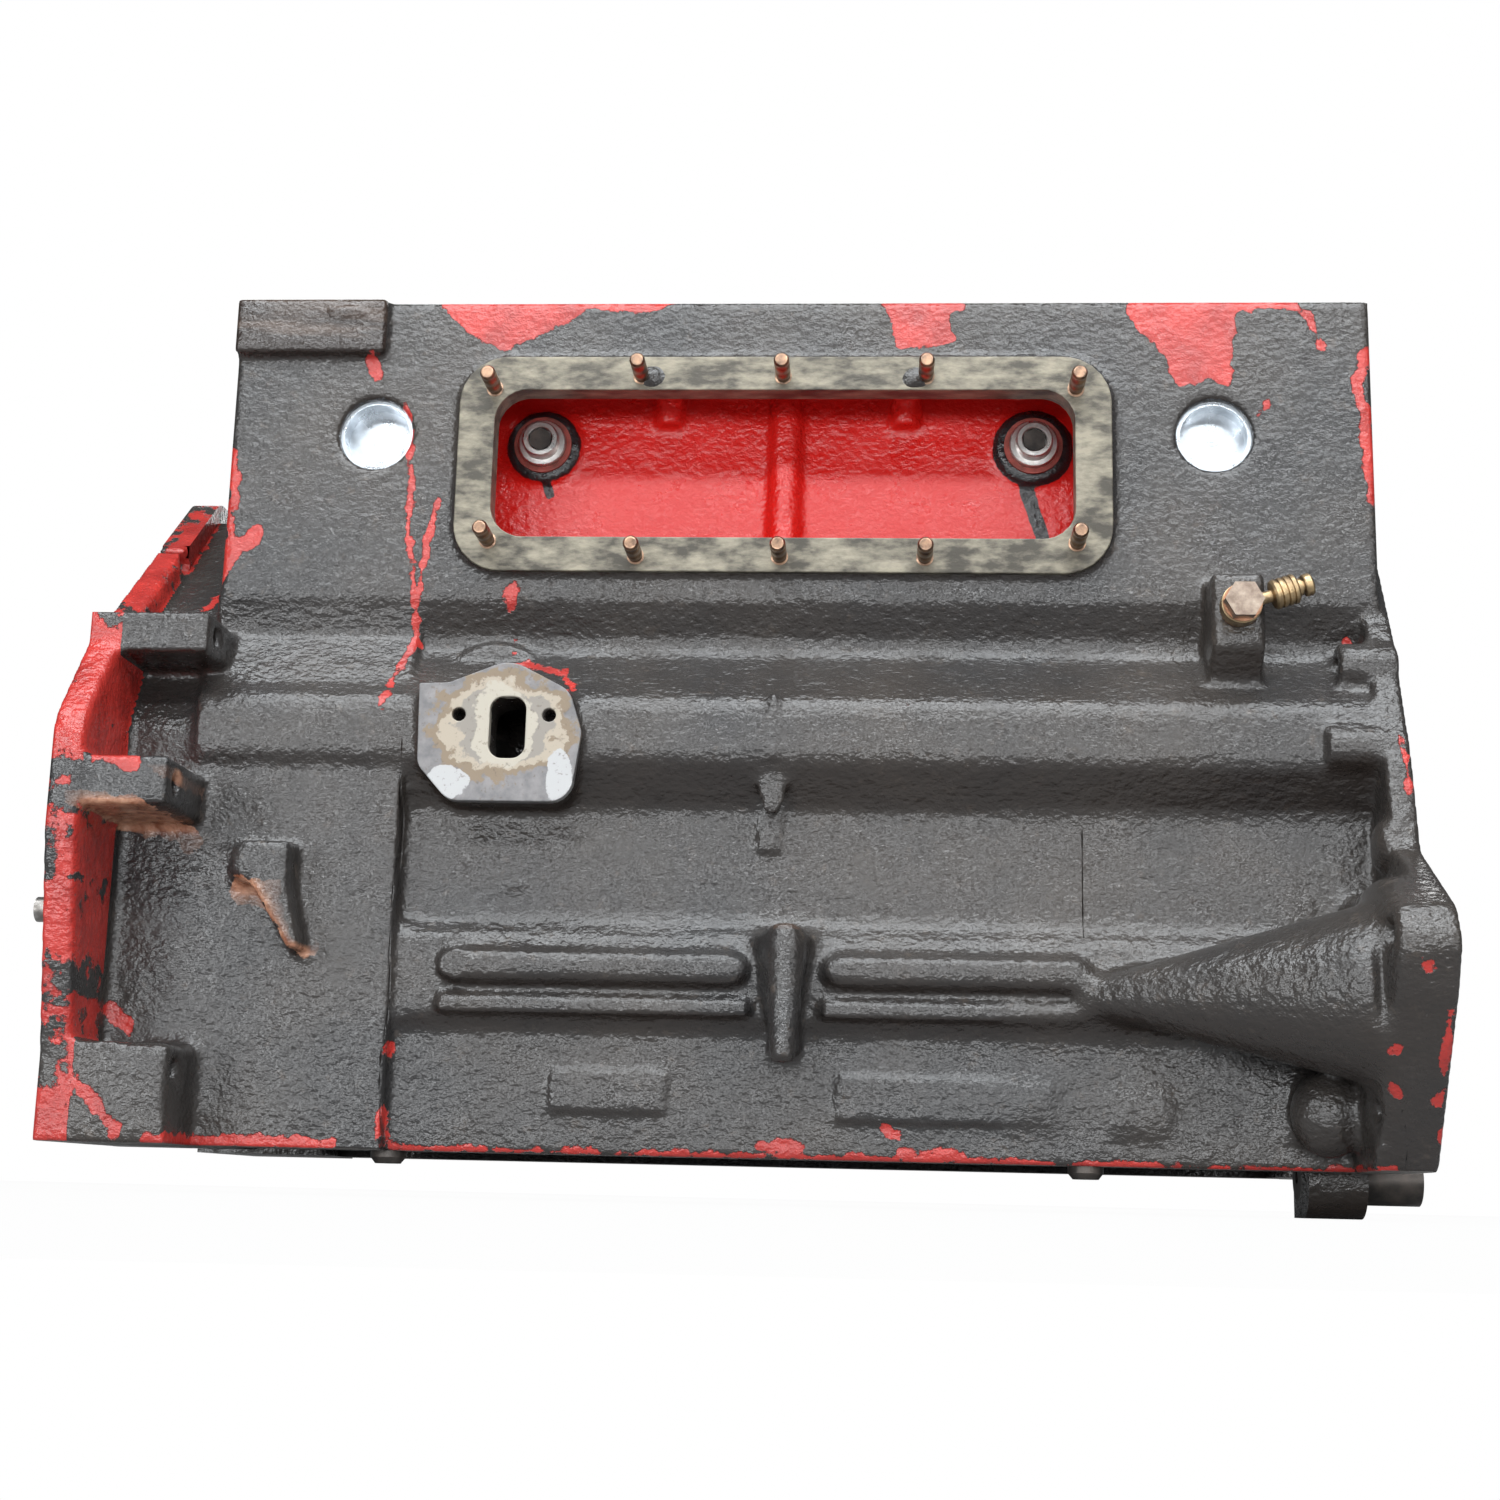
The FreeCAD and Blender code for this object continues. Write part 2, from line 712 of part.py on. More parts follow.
# Camshaft tunnel: bored through, and open round the lobes between its bearings.
removed.append(rod(
    "camshaft_tunnel", "x", "camshaft_bore / 2", "-flange_face - 1", "front_face + 1",
    ("-camshaft_offset", "camshaft_height"),
))
removed.append(rod(
    "camshaft_plug_seat", "x", "camshaft_plug_radius", "-flange_face - 1",
    "-flange_face + camshaft_plug_recess + camshaft_plug",
    ("-camshaft_offset", "camshaft_height"),
))
for number, place_x in enumerate(CYLINDERS):
    removed.append(hexagon(
        f"lobe_space_{number}", "x", "camshaft_clearance", f"{place_x} - lobe_space / 2",
        f"{place_x} + lobe_space / 2", ("-camshaft_offset", "camshaft_height"),
    ))

# Tappet chest, behind its framed opening.
removed.append(prism("chest_opening", "y", [
    ("chest_middle - opening_length / 2", "chest_height - opening_height / 2", "opening_corner"),
    ("chest_middle + opening_length / 2", "chest_height - opening_height / 2", "opening_corner"),
    ("chest_middle + opening_length / 2", "chest_height + opening_height / 2", "opening_corner"),
    ("chest_middle - opening_length / 2", "chest_height + opening_height / 2", "opening_corner"),
], "-camshaft_wall - frame_proud - 1", "-camshaft_wall + chest_wall + 1"))
chest_hollow = box(
    "chest_hollow", ("chest_middle - chest_length / 2", "chest_middle + chest_length / 2"),
    ("-camshaft_wall + chest_wall", "-chest_back"), ("chest_floor", "chest_ceiling"),
)
chest_forms = []
for number, sign in enumerate(("1", "-1")):
    chest_forms.append(rod(
        f"socket_plug_boss_{number}", "y", "boss_radius", "-chest_back - boss_proud",
        "-chest_back + 1", (f"chest_middle + {sign} * boss_reach", "boss_height"),
    ))
    chest_forms.append(rod(
        f"head_bolt_swell_{number}", "z", "8", "chest_ceiling - 22", "chest_ceiling + 1",
        (f"chest_middle + {sign} * cylinder_pitch / 2", "-chest_back - 1"),
    ))
chest_forms.append(rod(
    "chest_rib", "z", "chest_rib_radius", "chest_floor - 1", "chest_ceiling + 1",
    ("chest_rib_place", "-chest_back"),
))
removed.append(cut("chest_space", chest_hollow, chest_forms))

# Water jacket round the cylinder barrels, opened to the sides by the core-plug holes.
jacket_space = [box(
    "jacket_hollow", ("-jacket_length / 2", "jacket_length / 2"),
    ("-chest_back + jacket_skin", "far_wall - wall"), ("jacket_floor", "deck_height - deck_plate"),
)]
for sign in ("1", "-1"):
    low, high = ("175", "jacket_length / 2") if sign == "1" else ("-jacket_length / 2", "-190")
    jacket_space.append(box(
        f"jacket_end_{sign == '1'}", (low, high), ("-camshaft_wall + 20", "-chest_back + 8"),
        ("250", "deck_height - deck_plate"),
    ))
barrels = [
    rod(
        f"barrel_{number}", "z", "cylinder_bore / 2 + liner_wall + barrel_wall",
        "jacket_floor - 1", "deck_height", (place_x, "0"),
    )
    for number, place_x in enumerate(CYLINDERS)
]
removed.append(cut("jacket", fuse("jacket_whole", jacket_space), barrels))
for name, sign in SIDES.items():
    for end in ("1", "-1"):
        low, high = ("-camshaft_wall - 1", "-camshaft_wall + 22")
        if sign == "1":
            low, high = ("far_wall - wall - 1", "far_wall + 20")
        removed.append(rod(
            f"{name}_plug_hole_{end == '1'}", "y", "plug_bore / 2", low, high,
            (f"plug_middle + {end} * plug_reach", "plug_height"),
        ))

# Threaded and drilled holes.
for number, main in enumerate(MAINS):
    for sign in ("-1", "1"):
        removed.append(rod(
            f"head_bolt_{number}_{sign == '1'}", "z", "head_bolt_bore / 2",
            "deck_height - head_bolt_depth", "deck_height + 1", (main, f"{sign} * head_bolt_reach"),
        ))
        if number < 4:
            removed.append(rod(
                f"water_hole_{number}_{sign == '1'}", "z", "water_bore / 2",
                "deck_height - deck_plate - 1", "deck_height + 1",
                (f"{main} - cylinder_pitch / 2", f"{sign} * (head_bolt_reach + 2)"),
            ))
removed.append(rod(
    "oil_gallery", "x", "gallery_bore / 2", "-flange_face - 1", "front_face + 1",
    ("gallery_offset", "gallery_height"),
))
for sign in ("-1", "1"):
    for step in range(-2, 3):
        removed.append(rod(
            f"sump_hole_{sign == '1'}_{step + 2}", "z", "sump_bolt_bore / 2", "-sump_drop - 1",
            "-sump_drop + sump_bolt_depth", (f"{step} * sump_bolt_pitch", f"{sign} * sump_rail_line"),
        ))
for sign in ("-1", "1"):
    for level, (across, up, depth) in enumerate((
        (170, "-55", "flange_boss_depth + 7"), (184, "80", "flange_boss_depth + 1"),
        (152, "161", "flange_boss_depth + 5"), (78, "222", "flange_plate + 1"),
    )):
        removed.append(rod(
            f"flange_hole_{sign == '1'}_{level}", "x", "flange_hole / 2", "-flange_face - 1",
            f"-flange_face + {depth}", (f"{sign} * {across}", up),
        ))
for number, (across, up) in enumerate((
    ("-104", "188"), ("-128", "157"), ("-142", "113"), ("-218", "14"), ("-180", "-62"),
    ("100", "190"), ("134", "120"), ("146", "-60"),
)):
    removed.append(rod(
        f"front_hole_{number}", "x", "front_hole / 2", "front_face - 32", "front_face + 1",
        (across, up),
    ))
for sign in ("-1", "1"):
    removed.append(rod(
        f"pump_hole_{sign == '1'}", "y", "pump_bolt_radius", "-pump_face - 1", "-pump_face + 16",
        (f"pump_middle + {sign} * pump_bolt_spacing / 2", "pump_bolt_height"),
    ))
removed.append(prism("pump_slot", "y", [
    ("pump_middle + 2 - pump_slot_width / 2", "pump_height + 2 - pump_slot_height / 2", "7"),
    ("pump_middle + 2 + pump_slot_width / 2", "pump_height + 2 - pump_slot_height / 2", "7"),
    ("pump_middle + 2 + pump_slot_width / 2", "pump_height + 2 + pump_slot_height / 2", "7"),
    ("pump_middle + 2 - pump_slot_width / 2", "pump_height + 2 + pump_slot_height / 2", "7"),
], "-pump_face - 1", "-camshaft_offset"))
dipstick_hole = doc.addObject("Part::Cylinder", "dipstick_hole")
dipstick_hole.Placement = Placement(Vector(), Rotation(Vector(1, 0, 0), mm("180 - dipstick_lean")))
dipstick_hole.setExpression("Radius", formula("dipstick_bore / 2"))
dipstick_hole.setExpression("Height", formula("dipstick_length - 14"))
place(dipstick_hole, "x", "dipstick_place")
place(dipstick_hole, "y", "-dipstick_face + dipstick_radius + 0.3")
place(dipstick_hole, "z", "dipstick_top + 1")
removed.append(dipstick_hole)
for number, sign in enumerate(("1", "-1")):
    removed.append(rod(
        f"socket_plug_hole_{number}", "y", "socket_plug_radius + clearance",
        "-chest_back - boss_proud - 1", "-chest_back + jacket_skin + 1",
        (f"chest_middle + {sign} * boss_reach", "boss_height"),
    ))
    removed.append(rod(
        f"deck_dowel_hole_{number}", "z", "dowel_radius + clearance",
        "deck_height - dowel_length + dowel_proud", "deck_height + 1",
        (f"{sign} * (half_deck - deck_dowel_inset)", "-deck_dowel_reach"),
    ))
    removed.append(rod(
        f"flange_dowel_hole_{number}", "x", "dowel_radius + clearance", "-flange_face - 1",
        "-flange_face + dowel_length - dowel_proud",
        (f"{sign} * flange_dowel_reach", "flange_dowel_height"),
    ))
for end in ("front", "rear"):
    removed.append(rod(
        f"sump_stud_hole_{end}", "z", "sump_stud_radius + clearance", "-sump_drop - 1",
        "-sump_drop + sump_stud_depth", (f"sump_stud_{end}", "-sump_rail_line"),
    ))
removed.append(rod(
    "tap_hole", "y", "tap_bolt_radius + clearance", "-tap_boss_face - 1",
    "-tap_boss_face + tap_bolt_depth", ("tap_middle", "tap_height"),
))
studs_at = []
for step in ("-1", "-0.5", "0", "0.5", "1"):
    across = "stud_end_reach * " + step
    if step in ("-0.5", "0.5"):
        across = f"stud_inner_reach * {2 * float(step):.0f}"
    end_row = step in ("-1", "1")
    top = "stud_row_end_top" if end_row else "stud_row_top"
    bottom = "stud_row_end_bottom" if end_row else "stud_row_bottom"
    studs_at.append((f"chest_middle + {across}", f"chest_height + {top}"))
    studs_at.append((f"chest_middle + {across}", f"chest_height - {bottom}"))
for number, spot in enumerate(studs_at):
    removed.append(rod(
        f"stud_hole_{number}", "y", "stud_root + clearance", "-camshaft_wall - frame_proud - 1",
        "-camshaft_wall - frame_proud + stud_depth", spot,
    ))

casting = cut("casting", casting_blank, removed)
node(casting, "block_casting")

# ---------------------------------------------------------------- cylinder liners
# Thin dry liners pressed into the barrels, each hung by a lip that is flush with the deck.
for number, place_x in enumerate(CYLINDERS, start=1):
    wall = rod(
        f"liner_{number}_wall", "z", "cylinder_bore / 2 + liner_wall",
        "deck_height - liner_length", "deck_height", (place_x, "0"),
    )
    lip = rod(
        f"liner_{number}_lip", "z", "cylinder_bore / 2 + liner_wall + liner_lip",
        "deck_height - liner_lip_depth", "deck_height", (place_x, "0"),
    )
    bore = rod(
        f"liner_{number}_bore", "z", "cylinder_bore / 2", "deck_height - liner_length - 1",
        "deck_height + 1", (place_x, "0"),
    )
    node(cut(f"liner_{number}", fuse(f"liner_{number}_blank", [wall, lip]), [bore]),
         f"cylinder_liner_{number}")

# ---------------------------------------------------------------- main bearing caps
# Five caps close the bearing line from below. The front one carries the idler-gear arm.
idler_spot = ("-idler_offset", "-idler_drop")
idler_start = "cylinder_pitch * 2 + idler_set"
idler_end = idler_start + " + idler_length"
cap_bolts = []
for number, main in enumerate(MAINS, start=1):
    width = "end_main_width" if number in (1, 5) else "main_width"
    blank = [prism(f"cap_{number}_body", "x", [
        ("-cap_half", "0"),
        ("-cap_half", "-cap_depth"),
        ("-cap_bolt_reach + 17", "-cap_depth"),
        ("-22", "-cap_depth - 9"),
        ("22", "-cap_depth - 9"),
        ("cap_bolt_reach - 17", "-cap_depth"),
        ("cap_half", "-cap_depth"),
        ("cap_half", "0"),
    ], f"{main} - {width} / 2", f"{main} + {width} / 2")]
    tools = [rod(
        f"cap_{number}_bore", "x", "main_bore / 2", f"{main} - {width}", f"{main} + {width}",
        ("0", "0"),
    )]
    if number == 1:
        blank.append(prism("idler_arm", "x", [
            ("-idler_offset - idler_half", "-idler_top"),
            ("-idler_offset - idler_half", "-idler_bottom", "18"),
            ("-idler_offset + idler_half", "-idler_bottom", "18"),
            ("-idler_offset + idler_half", "-cap_depth"),
            ("-idler_offset + idler_half + 8", "-idler_top"),
        ], idler_start, idler_end))
        tools.append(rod(
            "idler_shaft_hole", "x", "idler_shaft_radius + clearance", f"{idler_start} - 1",
            f"{idler_end} + 1", idler_spot,
        ))
        tools.append(rod(
            "arm_relief", "z", "cap_bolt_hex + 1.5", "-idler_bottom - 1", "-cap_depth",
            (main, "-cap_bolt_reach"),
        ))
    for side, reach in enumerate(("-cap_bolt_reach", "cap_bolt_reach")):
        tools.append(rod(
            f"cap_{number}_hole_{side}", "z", "cap_bolt_radius + clearance",
            "-cap_depth - 1", "1", (main, reach),
        ))
        shank = rod(
            f"cap_{number}_shank_{side}", "z", "cap_bolt_radius", "-cap_depth - 1",
            "cap_bolt_thread", (main, reach),
        )
        head = hexagon(
            f"cap_{number}_head_{side}", "z", "cap_bolt_hex", "-cap_depth - cap_bolt_head",
            "-cap_depth", (main, reach),
        )
        cap_bolts.append(fuse(f"cap_{number}_bolt_{side}", [shank, head]))
    node(cut(f"cap_{number}", fuse(f"cap_{number}_blank", blank), tools),
         f"main_bearing_cap_{number}")
node(group("cap_bolts", cap_bolts), "main_cap_bolts")

# ---- idler-gear shaft, shouldered against the arm, with an oil drilling through it
idler_whole = fuse("idler_whole", [
    rod("idler_shank", "x", "idler_shaft_radius", idler_start, f"{idler_end} + 1", idler_spot),
    rod("idler_hub", "x", "idler_hub_radius", idler_end, f"{idler_end} + idler_hub_length",
        idler_spot),
])
node(cut("idler", idler_whole, [rod(
    "idler_oilway", "x", "idler_oil_radius", f"{idler_start} - 1",
    f"{idler_end} + idler_hub_length + 1", idler_spot,
)]), "idler_shaft")

# ---------------------------------------------------------------- pressed plugs
# Pressed-steel cups close the core holes of the water jacket, open side out.
for name, sign in SIDES.items():
    for end, step in (("front", "1"), ("rear", "-1")):
        spot = (f"plug_middle + {step} * plug_reach", "plug_height")
        face = "camshaft_wall - plug_recess" if sign == "-1" else "far_wall - 1"
        low, high = f"{face} - plug_cup", face
        hollow_low, hollow_high = f"{low} + plug_gauge", f"{high} + 1"
        if sign == "-1":
            low, high = f"-({face})", f"-({face} - plug_cup)"
            hollow_low, hollow_high = f"{low} - 1", f"{high} - plug_gauge"
        cup = rod(f"{name}_{end}_cup", "y", "plug_bore / 2 - clearance", low, high, spot)
        hollow = rod(
            f"{name}_{end}_hollow", "y", "plug_bore / 2 - clearance - plug_gauge",
            hollow_low, hollow_high, spot,
        )
        side = "side" if sign == "-1" else "far"
        node(cut(f"{name}_{end}_plug", cup, [hollow]), f"{side}_core_plug_{end}")

node(rod(
    "camshaft_disc", "x", "camshaft_plug_radius - clearance",
    "-flange_face + camshaft_plug_recess",
    "-flange_face + camshaft_plug_recess + camshaft_plug", ("-camshaft_offset", "camshaft_height"),
), "camshaft_rear_plug")
gallery_spot = ("gallery_offset", "gallery_height")
node(group("gallery_plugs", [
    rod("gallery_plug_rear", "x", "gallery_bore / 2 - clearance", "-flange_face + 1",
        "-flange_face + 1 + gallery_plug_length", gallery_spot),
    rod("gallery_plug_front", "x", "gallery_bore / 2 - clearance",
        "front_face - 1 - gallery_plug_length", "front_face - 1", gallery_spot),
]), "oil_gallery_plugs")

# ---------------------------------------------------------------- tappet-chest hardware
# Two hex-socket plugs on sealing rings, and ten studs for the side cover.
boss_face = "-chest_back - boss_proud"
for end, sign in (("front", "1"), ("rear", "-1")):
    spot = (f"chest_middle + {sign} * boss_reach", "boss_height")
    whole = fuse(f"{end}_plug_whole", [
        rod(f"{end}_plug_shank", "y", "socket_plug_radius", f"{boss_face} - seal_thickness - 1",
            "-chest_back + jacket_skin", spot),
        rod(f"{end}_plug_head", "y", "socket_plug_head_radius",
            f"{boss_face} - seal_thickness - socket_plug_head", f"{boss_face} - seal_thickness",
            spot),
    ])
    socket = hexagon(
        f"{end}_plug_socket", "y", "socket_size",
        f"{boss_face} - seal_thickness - socket_plug_head - 1",
        f"{boss_face} - seal_thickness - socket_plug_head + socket_depth", spot,
    )
    node(cut(f"{end}_plug", whole, [socket]), f"chest_plug_{end}")
    ring = rod(
        f"{end}_seal_ring", "y", "seal_radius", f"{boss_face} - seal_thickness", boss_face, spot
    )
    hole = rod(
        f"{end}_seal_hole", "y", "socket_plug_radius + clearance",
        f"{boss_face} - seal_thickness - 1", f"{boss_face} + 1", spot,
    )
    node(cut(f"{end}_seal", ring, [hole]), f"chest_plug_seal_{end}")

frame_face = "-camshaft_wall - frame_proud"
node(group("studs", [
    fuse(f"stud_{number}", [
        rod(f"stud_{number}_end", "y", "stud_radius", f"{frame_face} - stud_reach", frame_face, spot),
        rod(f"stud_{number}_root", "y", "stud_root", f"{frame_face} - 1",
            f"{frame_face} + stud_depth", spot),
    ])
    for number, spot in enumerate(studs_at)
]), "cover_studs")

# ---------------------------------------------------------------- coolant drain
# A banjo bolt holds the brass tap body between two copper washers.
tap_spot = ("tap_middle", "tap_height")
tap_inner = "-tap_boss_face - tap_washer"
tap_outer = "-tap_boss_face - tap_washer - tap_ring_width"
tap_head = "-tap_boss_face - tap_washer * 2 - tap_ring_width"
node(fuse("tap_bolt", [
    rod("tap_bolt_shank", "y", "tap_bolt_radius", f"{tap_head} - 1",
        "-tap_boss_face + tap_bolt_depth - 1", tap_spot),
    hexagon("tap_bolt_head", "y", "tap_bolt_hex", f"{tap_head} - tap_bolt_head", tap_head,
            tap_spot),
]), "drain_banjo_bolt")
tap_washers = []
for name, low, high in (
    ("inner", tap_inner, "-tap_boss_face"), ("outer", tap_head, tap_outer),
):
    tap_washers.append(cut(
        f"tap_washer_{name}", rod(f"tap_washer_{name}_disc", "y", "tap_washer_radius", low, high, tap_spot),
        [rod(f"tap_washer_{name}_hole", "y", "tap_bolt_radius + clearance", f"{low} - 1",
             f"{high} + 1", tap_spot)],
    ))
node(group("tap_washers", tap_washers), "drain_washers")

tap_ring_middle = f"({tap_inner} + {tap_outer}) / 2"


def leaning(name, radius, start, reach):
    """A rod in the plane of the banjo ring that leaves it forwards and down."""
    item = doc.addObject("Part::Cylinder", name)
    fall = mm("tap_arm_fall")
    item.Placement = Placement(Vector(), Rotation(Vector(0, 1, 0), 90 + fall))
    item.setExpression("Radius", formula(radius))
    item.setExpression("Height", formula(f"({reach}) - ({start})"))
    item.setExpression("Placement.Base.x", "Sizes.tap_middle + (" + formula(start) + ") * cos("
                       + formula("tap_arm_fall") + " * 1 deg)")
    item.setExpression("Placement.Base.z", "Sizes.tap_height - (" + formula(start) + ") * sin("
                       + formula("tap_arm_fall") + " * 1 deg)")
    place(item, "y", tap_ring_middle)
    return item


tap_ring = rod("tap_ring", "y", "tap_ring_radius", tap_outer, tap_inner, tap_spot)
tap_hole = rod(
    "tap_ring_hole", "y", "tap_bolt_radius + clearance", f"{tap_outer} - 1", f"{tap_inner} + 1",
    tap_spot,
)
tap_arm = leaning("tap_arm", "tap_arm_radius", "tap_ring_radius * 0.8", "tap_arm_length")
tap_thread = leaning(
    "tap_thread", "tap_screw_radius + clearance", "tap_arm_length - tap_screw_length / 2",
    "tap_arm_length + 1",
)
node(cut("tap_body", fuse("tap_body_blank", [tap_ring, tap_arm]), [tap_hole, tap_thread]),
     "drain_tap_body")
node(leaning(
    "tap_screw", "tap_screw_radius", "tap_arm_length - tap_screw_length / 2",
    "tap_arm_length + tap_screw_length / 2",
), "drain_tap_screw")

# ---------------------------------------------------------------- dowels and sump-rail studs
node(group("deck_dowels", [
    rod(f"deck_dowel_{number}", "z", "dowel_radius", "deck_height - dowel_length + dowel_proud",
        "deck_height + dowel_proud",
        (f"{sign} * (half_deck - deck_dowel_inset)", "-deck_dowel_reach"))
    for number, sign in enumerate(("1", "-1"))
]), "deck_dowels")
node(group("flange_dowels", [
    rod(f"flange_dowel_{number}", "x", "dowel_radius", "-flange_face - dowel_proud",
        "-flange_face + dowel_length - dowel_proud",
        (f"{sign} * flange_dowel_reach", "flange_dowel_height"))
    for number, sign in enumerate(("1", "-1"))
]), "rear_flange_dowels")
sump_studs = []
for end in ("front", "rear"):
    spot = (f"sump_stud_{end}", "-sump_rail_line")
    sump_studs.append(fuse(f"sump_stud_{end}_whole", [
        rod(f"sump_stud_{end}_body", "z", "sump_stud_radius", "-sump_drop - sump_stud_proud / 2",
            "-sump_drop + sump_stud_depth", spot),
        cone(f"sump_stud_{end}_tip", "z", ("sump_stud_tip", "sump_stud_radius"),
             "-sump_drop - sump_stud_proud", "-sump_drop - sump_stud_proud / 2", spot),
    ]))
node(group("sump_studs", sump_studs), "sump_rail_studs")

doc.recompute()

os.makedirs("parts", exist_ok=True)
for item in doc.Objects:
    if "Invalid" in item.State or "Error" in item.State:
        raise RuntimeError(f"{item.Name} failed: {item.State}")
for item in nodes:
    if item.Shape.isNull() or not item.Shape.isValid():
        raise RuntimeError(f"{item.Label} has no valid shape")
    item.Shape.exportStep(f"parts/{item.Label}.step")
    print(item.Label, len(item.Shape.Solids), round(item.Shape.Volume / 1000, 1), "cc")
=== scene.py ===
import math

import bmesh
import bpy
import numpy as np
from mathutils import Matrix, Vector
from mathutils.bvhtree import BVHTree


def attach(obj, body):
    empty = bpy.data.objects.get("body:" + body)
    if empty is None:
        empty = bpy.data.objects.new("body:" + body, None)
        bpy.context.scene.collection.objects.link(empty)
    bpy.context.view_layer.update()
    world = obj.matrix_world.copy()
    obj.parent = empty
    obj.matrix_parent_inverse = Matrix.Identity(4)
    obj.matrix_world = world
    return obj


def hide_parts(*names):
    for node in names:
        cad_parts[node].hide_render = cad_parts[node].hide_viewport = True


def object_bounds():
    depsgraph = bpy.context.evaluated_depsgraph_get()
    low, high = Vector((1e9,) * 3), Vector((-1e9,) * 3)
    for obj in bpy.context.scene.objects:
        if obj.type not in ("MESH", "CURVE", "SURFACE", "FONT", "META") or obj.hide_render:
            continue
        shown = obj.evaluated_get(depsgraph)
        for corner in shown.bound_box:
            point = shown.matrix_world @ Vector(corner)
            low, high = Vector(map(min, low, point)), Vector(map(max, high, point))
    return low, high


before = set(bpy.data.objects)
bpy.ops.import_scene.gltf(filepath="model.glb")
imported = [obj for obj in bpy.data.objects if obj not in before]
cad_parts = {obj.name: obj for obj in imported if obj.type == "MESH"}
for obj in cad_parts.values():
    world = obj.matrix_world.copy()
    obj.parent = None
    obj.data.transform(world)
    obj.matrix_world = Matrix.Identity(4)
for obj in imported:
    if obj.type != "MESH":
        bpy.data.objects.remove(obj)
cad_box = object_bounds()
MM = 0.001

# Lengths are written in mm and turned into metres with MM. X runs along the crankshaft to the
# timing end, the camshaft side faces -Y, and Z = 0 is the crankshaft line.

chest_x, chest_z = -5.5, 262        # middle of the tappet-chest opening
chest_plug_xs, chest_plug_z = (-137, 126), 288.3
pad_x, pad_z = -138.6, 118          # middle of the mark that the lift pump's gasket left
tap_x, tap_z = 221.3, 181.3         # axis of the drain tap's bolt


# ------------------------------------------------------------------ studio
# The block stands on a plain white floor under soft white lamps, one large one overhead and
# in front, and the lens looks slightly up at the camshaft side from just above the floor.

scene = bpy.context.scene
scene.view_settings.view_transform = "Standard"


def paper(name, shade, whitened):
    """A matt sheet that the lens sees as plain white, apart from a small share of its shadow."""
    material = bpy.data.materials.new(name)
    material.use_nodes = True
    nodes, links = material.node_tree.nodes, material.node_tree.links
    nodes.clear()
    diffuse = nodes.new("ShaderNodeBsdfDiffuse")
    diffuse.inputs["Color"].default_value = (shade, shade, shade, 1)
    glow = nodes.new("ShaderNodeEmission")
    glow.inputs["Color"].default_value = (1, 1, 1, 1)
    glow.inputs["Strength"].default_value = 1.0
    seen = nodes.new("ShaderNodeLightPath")
    blend = nodes.new("ShaderNodeMixShader")
    share = nodes.new("ShaderNodeMath")
    share.operation = "MULTIPLY"
    share.inputs[1].default_value = whitened
    output = nodes.new("ShaderNodeOutputMaterial")
    links.new(seen.outputs["Is Camera Ray"], share.inputs[0])
    links.new(share.outputs[0], blend.inputs["Fac"])
    links.new(diffuse.outputs[0], blend.inputs[1])
    links.new(glow.outputs[0], blend.inputs[2])
    links.new(blend.outputs[0], output.inputs["Surface"])
    return material


floor_mesh = bmesh.new()
floor_reach = 12
floor_gap = 0.2 * MM
bmesh.ops.create_grid(floor_mesh, x_segments=1, y_segments=1, size=floor_reach)
bmesh.ops.translate(floor_mesh, verts=floor_mesh.verts, vec=(0, 0, cad_box[0].z - floor_gap))
floor_data = bpy.data.meshes.new("studio_floor")
floor_mesh.to_mesh(floor_data)
floor = bpy.data.objects.new("studio_floor", floor_data)
scene.collection.objects.link(floor)
floor_data.materials.append(paper("white_paper", 0.34, 0.97))

world = bpy.data.worlds.new("studio_room")
scene.world = world
world.use_nodes = True
room, room_links = world.node_tree.nodes, world.node_tree.links
room.clear()
soft_room = room.new("ShaderNodeBackground")
soft_room.inputs["Color"].default_value = (0.86, 0.93, 1.0, 1)
soft_room.inputs["Strength"].default_value = 0.10
white_room = room.new("ShaderNodeBackground")
white_room.inputs["Strength"].default_value = 1.0
white_room.inputs["Color"].default_value = (1, 1, 1, 1)
room_path = room.new("ShaderNodeLightPath")
room_mix = room.new("ShaderNodeMixShader")
room_out = room.new("ShaderNodeOutputWorld")
room_links.new(room_path.outputs["Is Camera Ray"], room_mix.inputs["Fac"])
room_links.new(soft_room.outputs[0], room_mix.inputs[1])
room_links.new(white_room.outputs[0], room_mix.inputs[2])
room_links.new(room_mix.outputs[0], room_out.inputs["Surface"])


def softbox(name, place, aim, width, height, power, tint=(1, 1, 1)):
    """A rectangular lamp. Its place, aim and sizes are in metres and its power is in watts."""
    data = bpy.data.lights.new(name, "AREA")
    data.shape = "RECTANGLE"
    data.size = width
    data.size_y = height
    data.energy = power
    data.color = tint
    lamp = bpy.data.objects.new(name, data)
    lamp.location = place
    lamp.rotation_euler = (Vector(aim) - Vector(place)).to_track_quat("-Z", "Y").to_euler()
    scene.collection.objects.link(lamp)


softbox("overhead", (0.0, -0.85, 1.6), (0, -0.1, 0.1), 2.4, 0.6, 40, (0.93, 0.97, 1.0))
softbox("high_strip", (0.0, -1.9, 1.35), (0, -0.1, 0.15), 2.6, 0.22, 34, (0.95, 0.98, 1.0))
softbox("front_left", (-1.6, -1.9, 0.3), (-0.1, 0, 0.05), 0.5, 1.0, 15, (0.95, 0.98, 1.0))
softbox("front_right", (1.8, -1.7, 0.7), (0, 0, 0.1), 0.7, 1.1, 7)
softbox("low_front", (0.0, -2.4, 0.12), (0, 0, 0.05), 3.0, 0.45, 30, (0.96, 0.98, 1.0))
softbox("behind", (0.0, 1.9, 1.2), (0, 0, 0.1), 2.0, 1.2, 26)

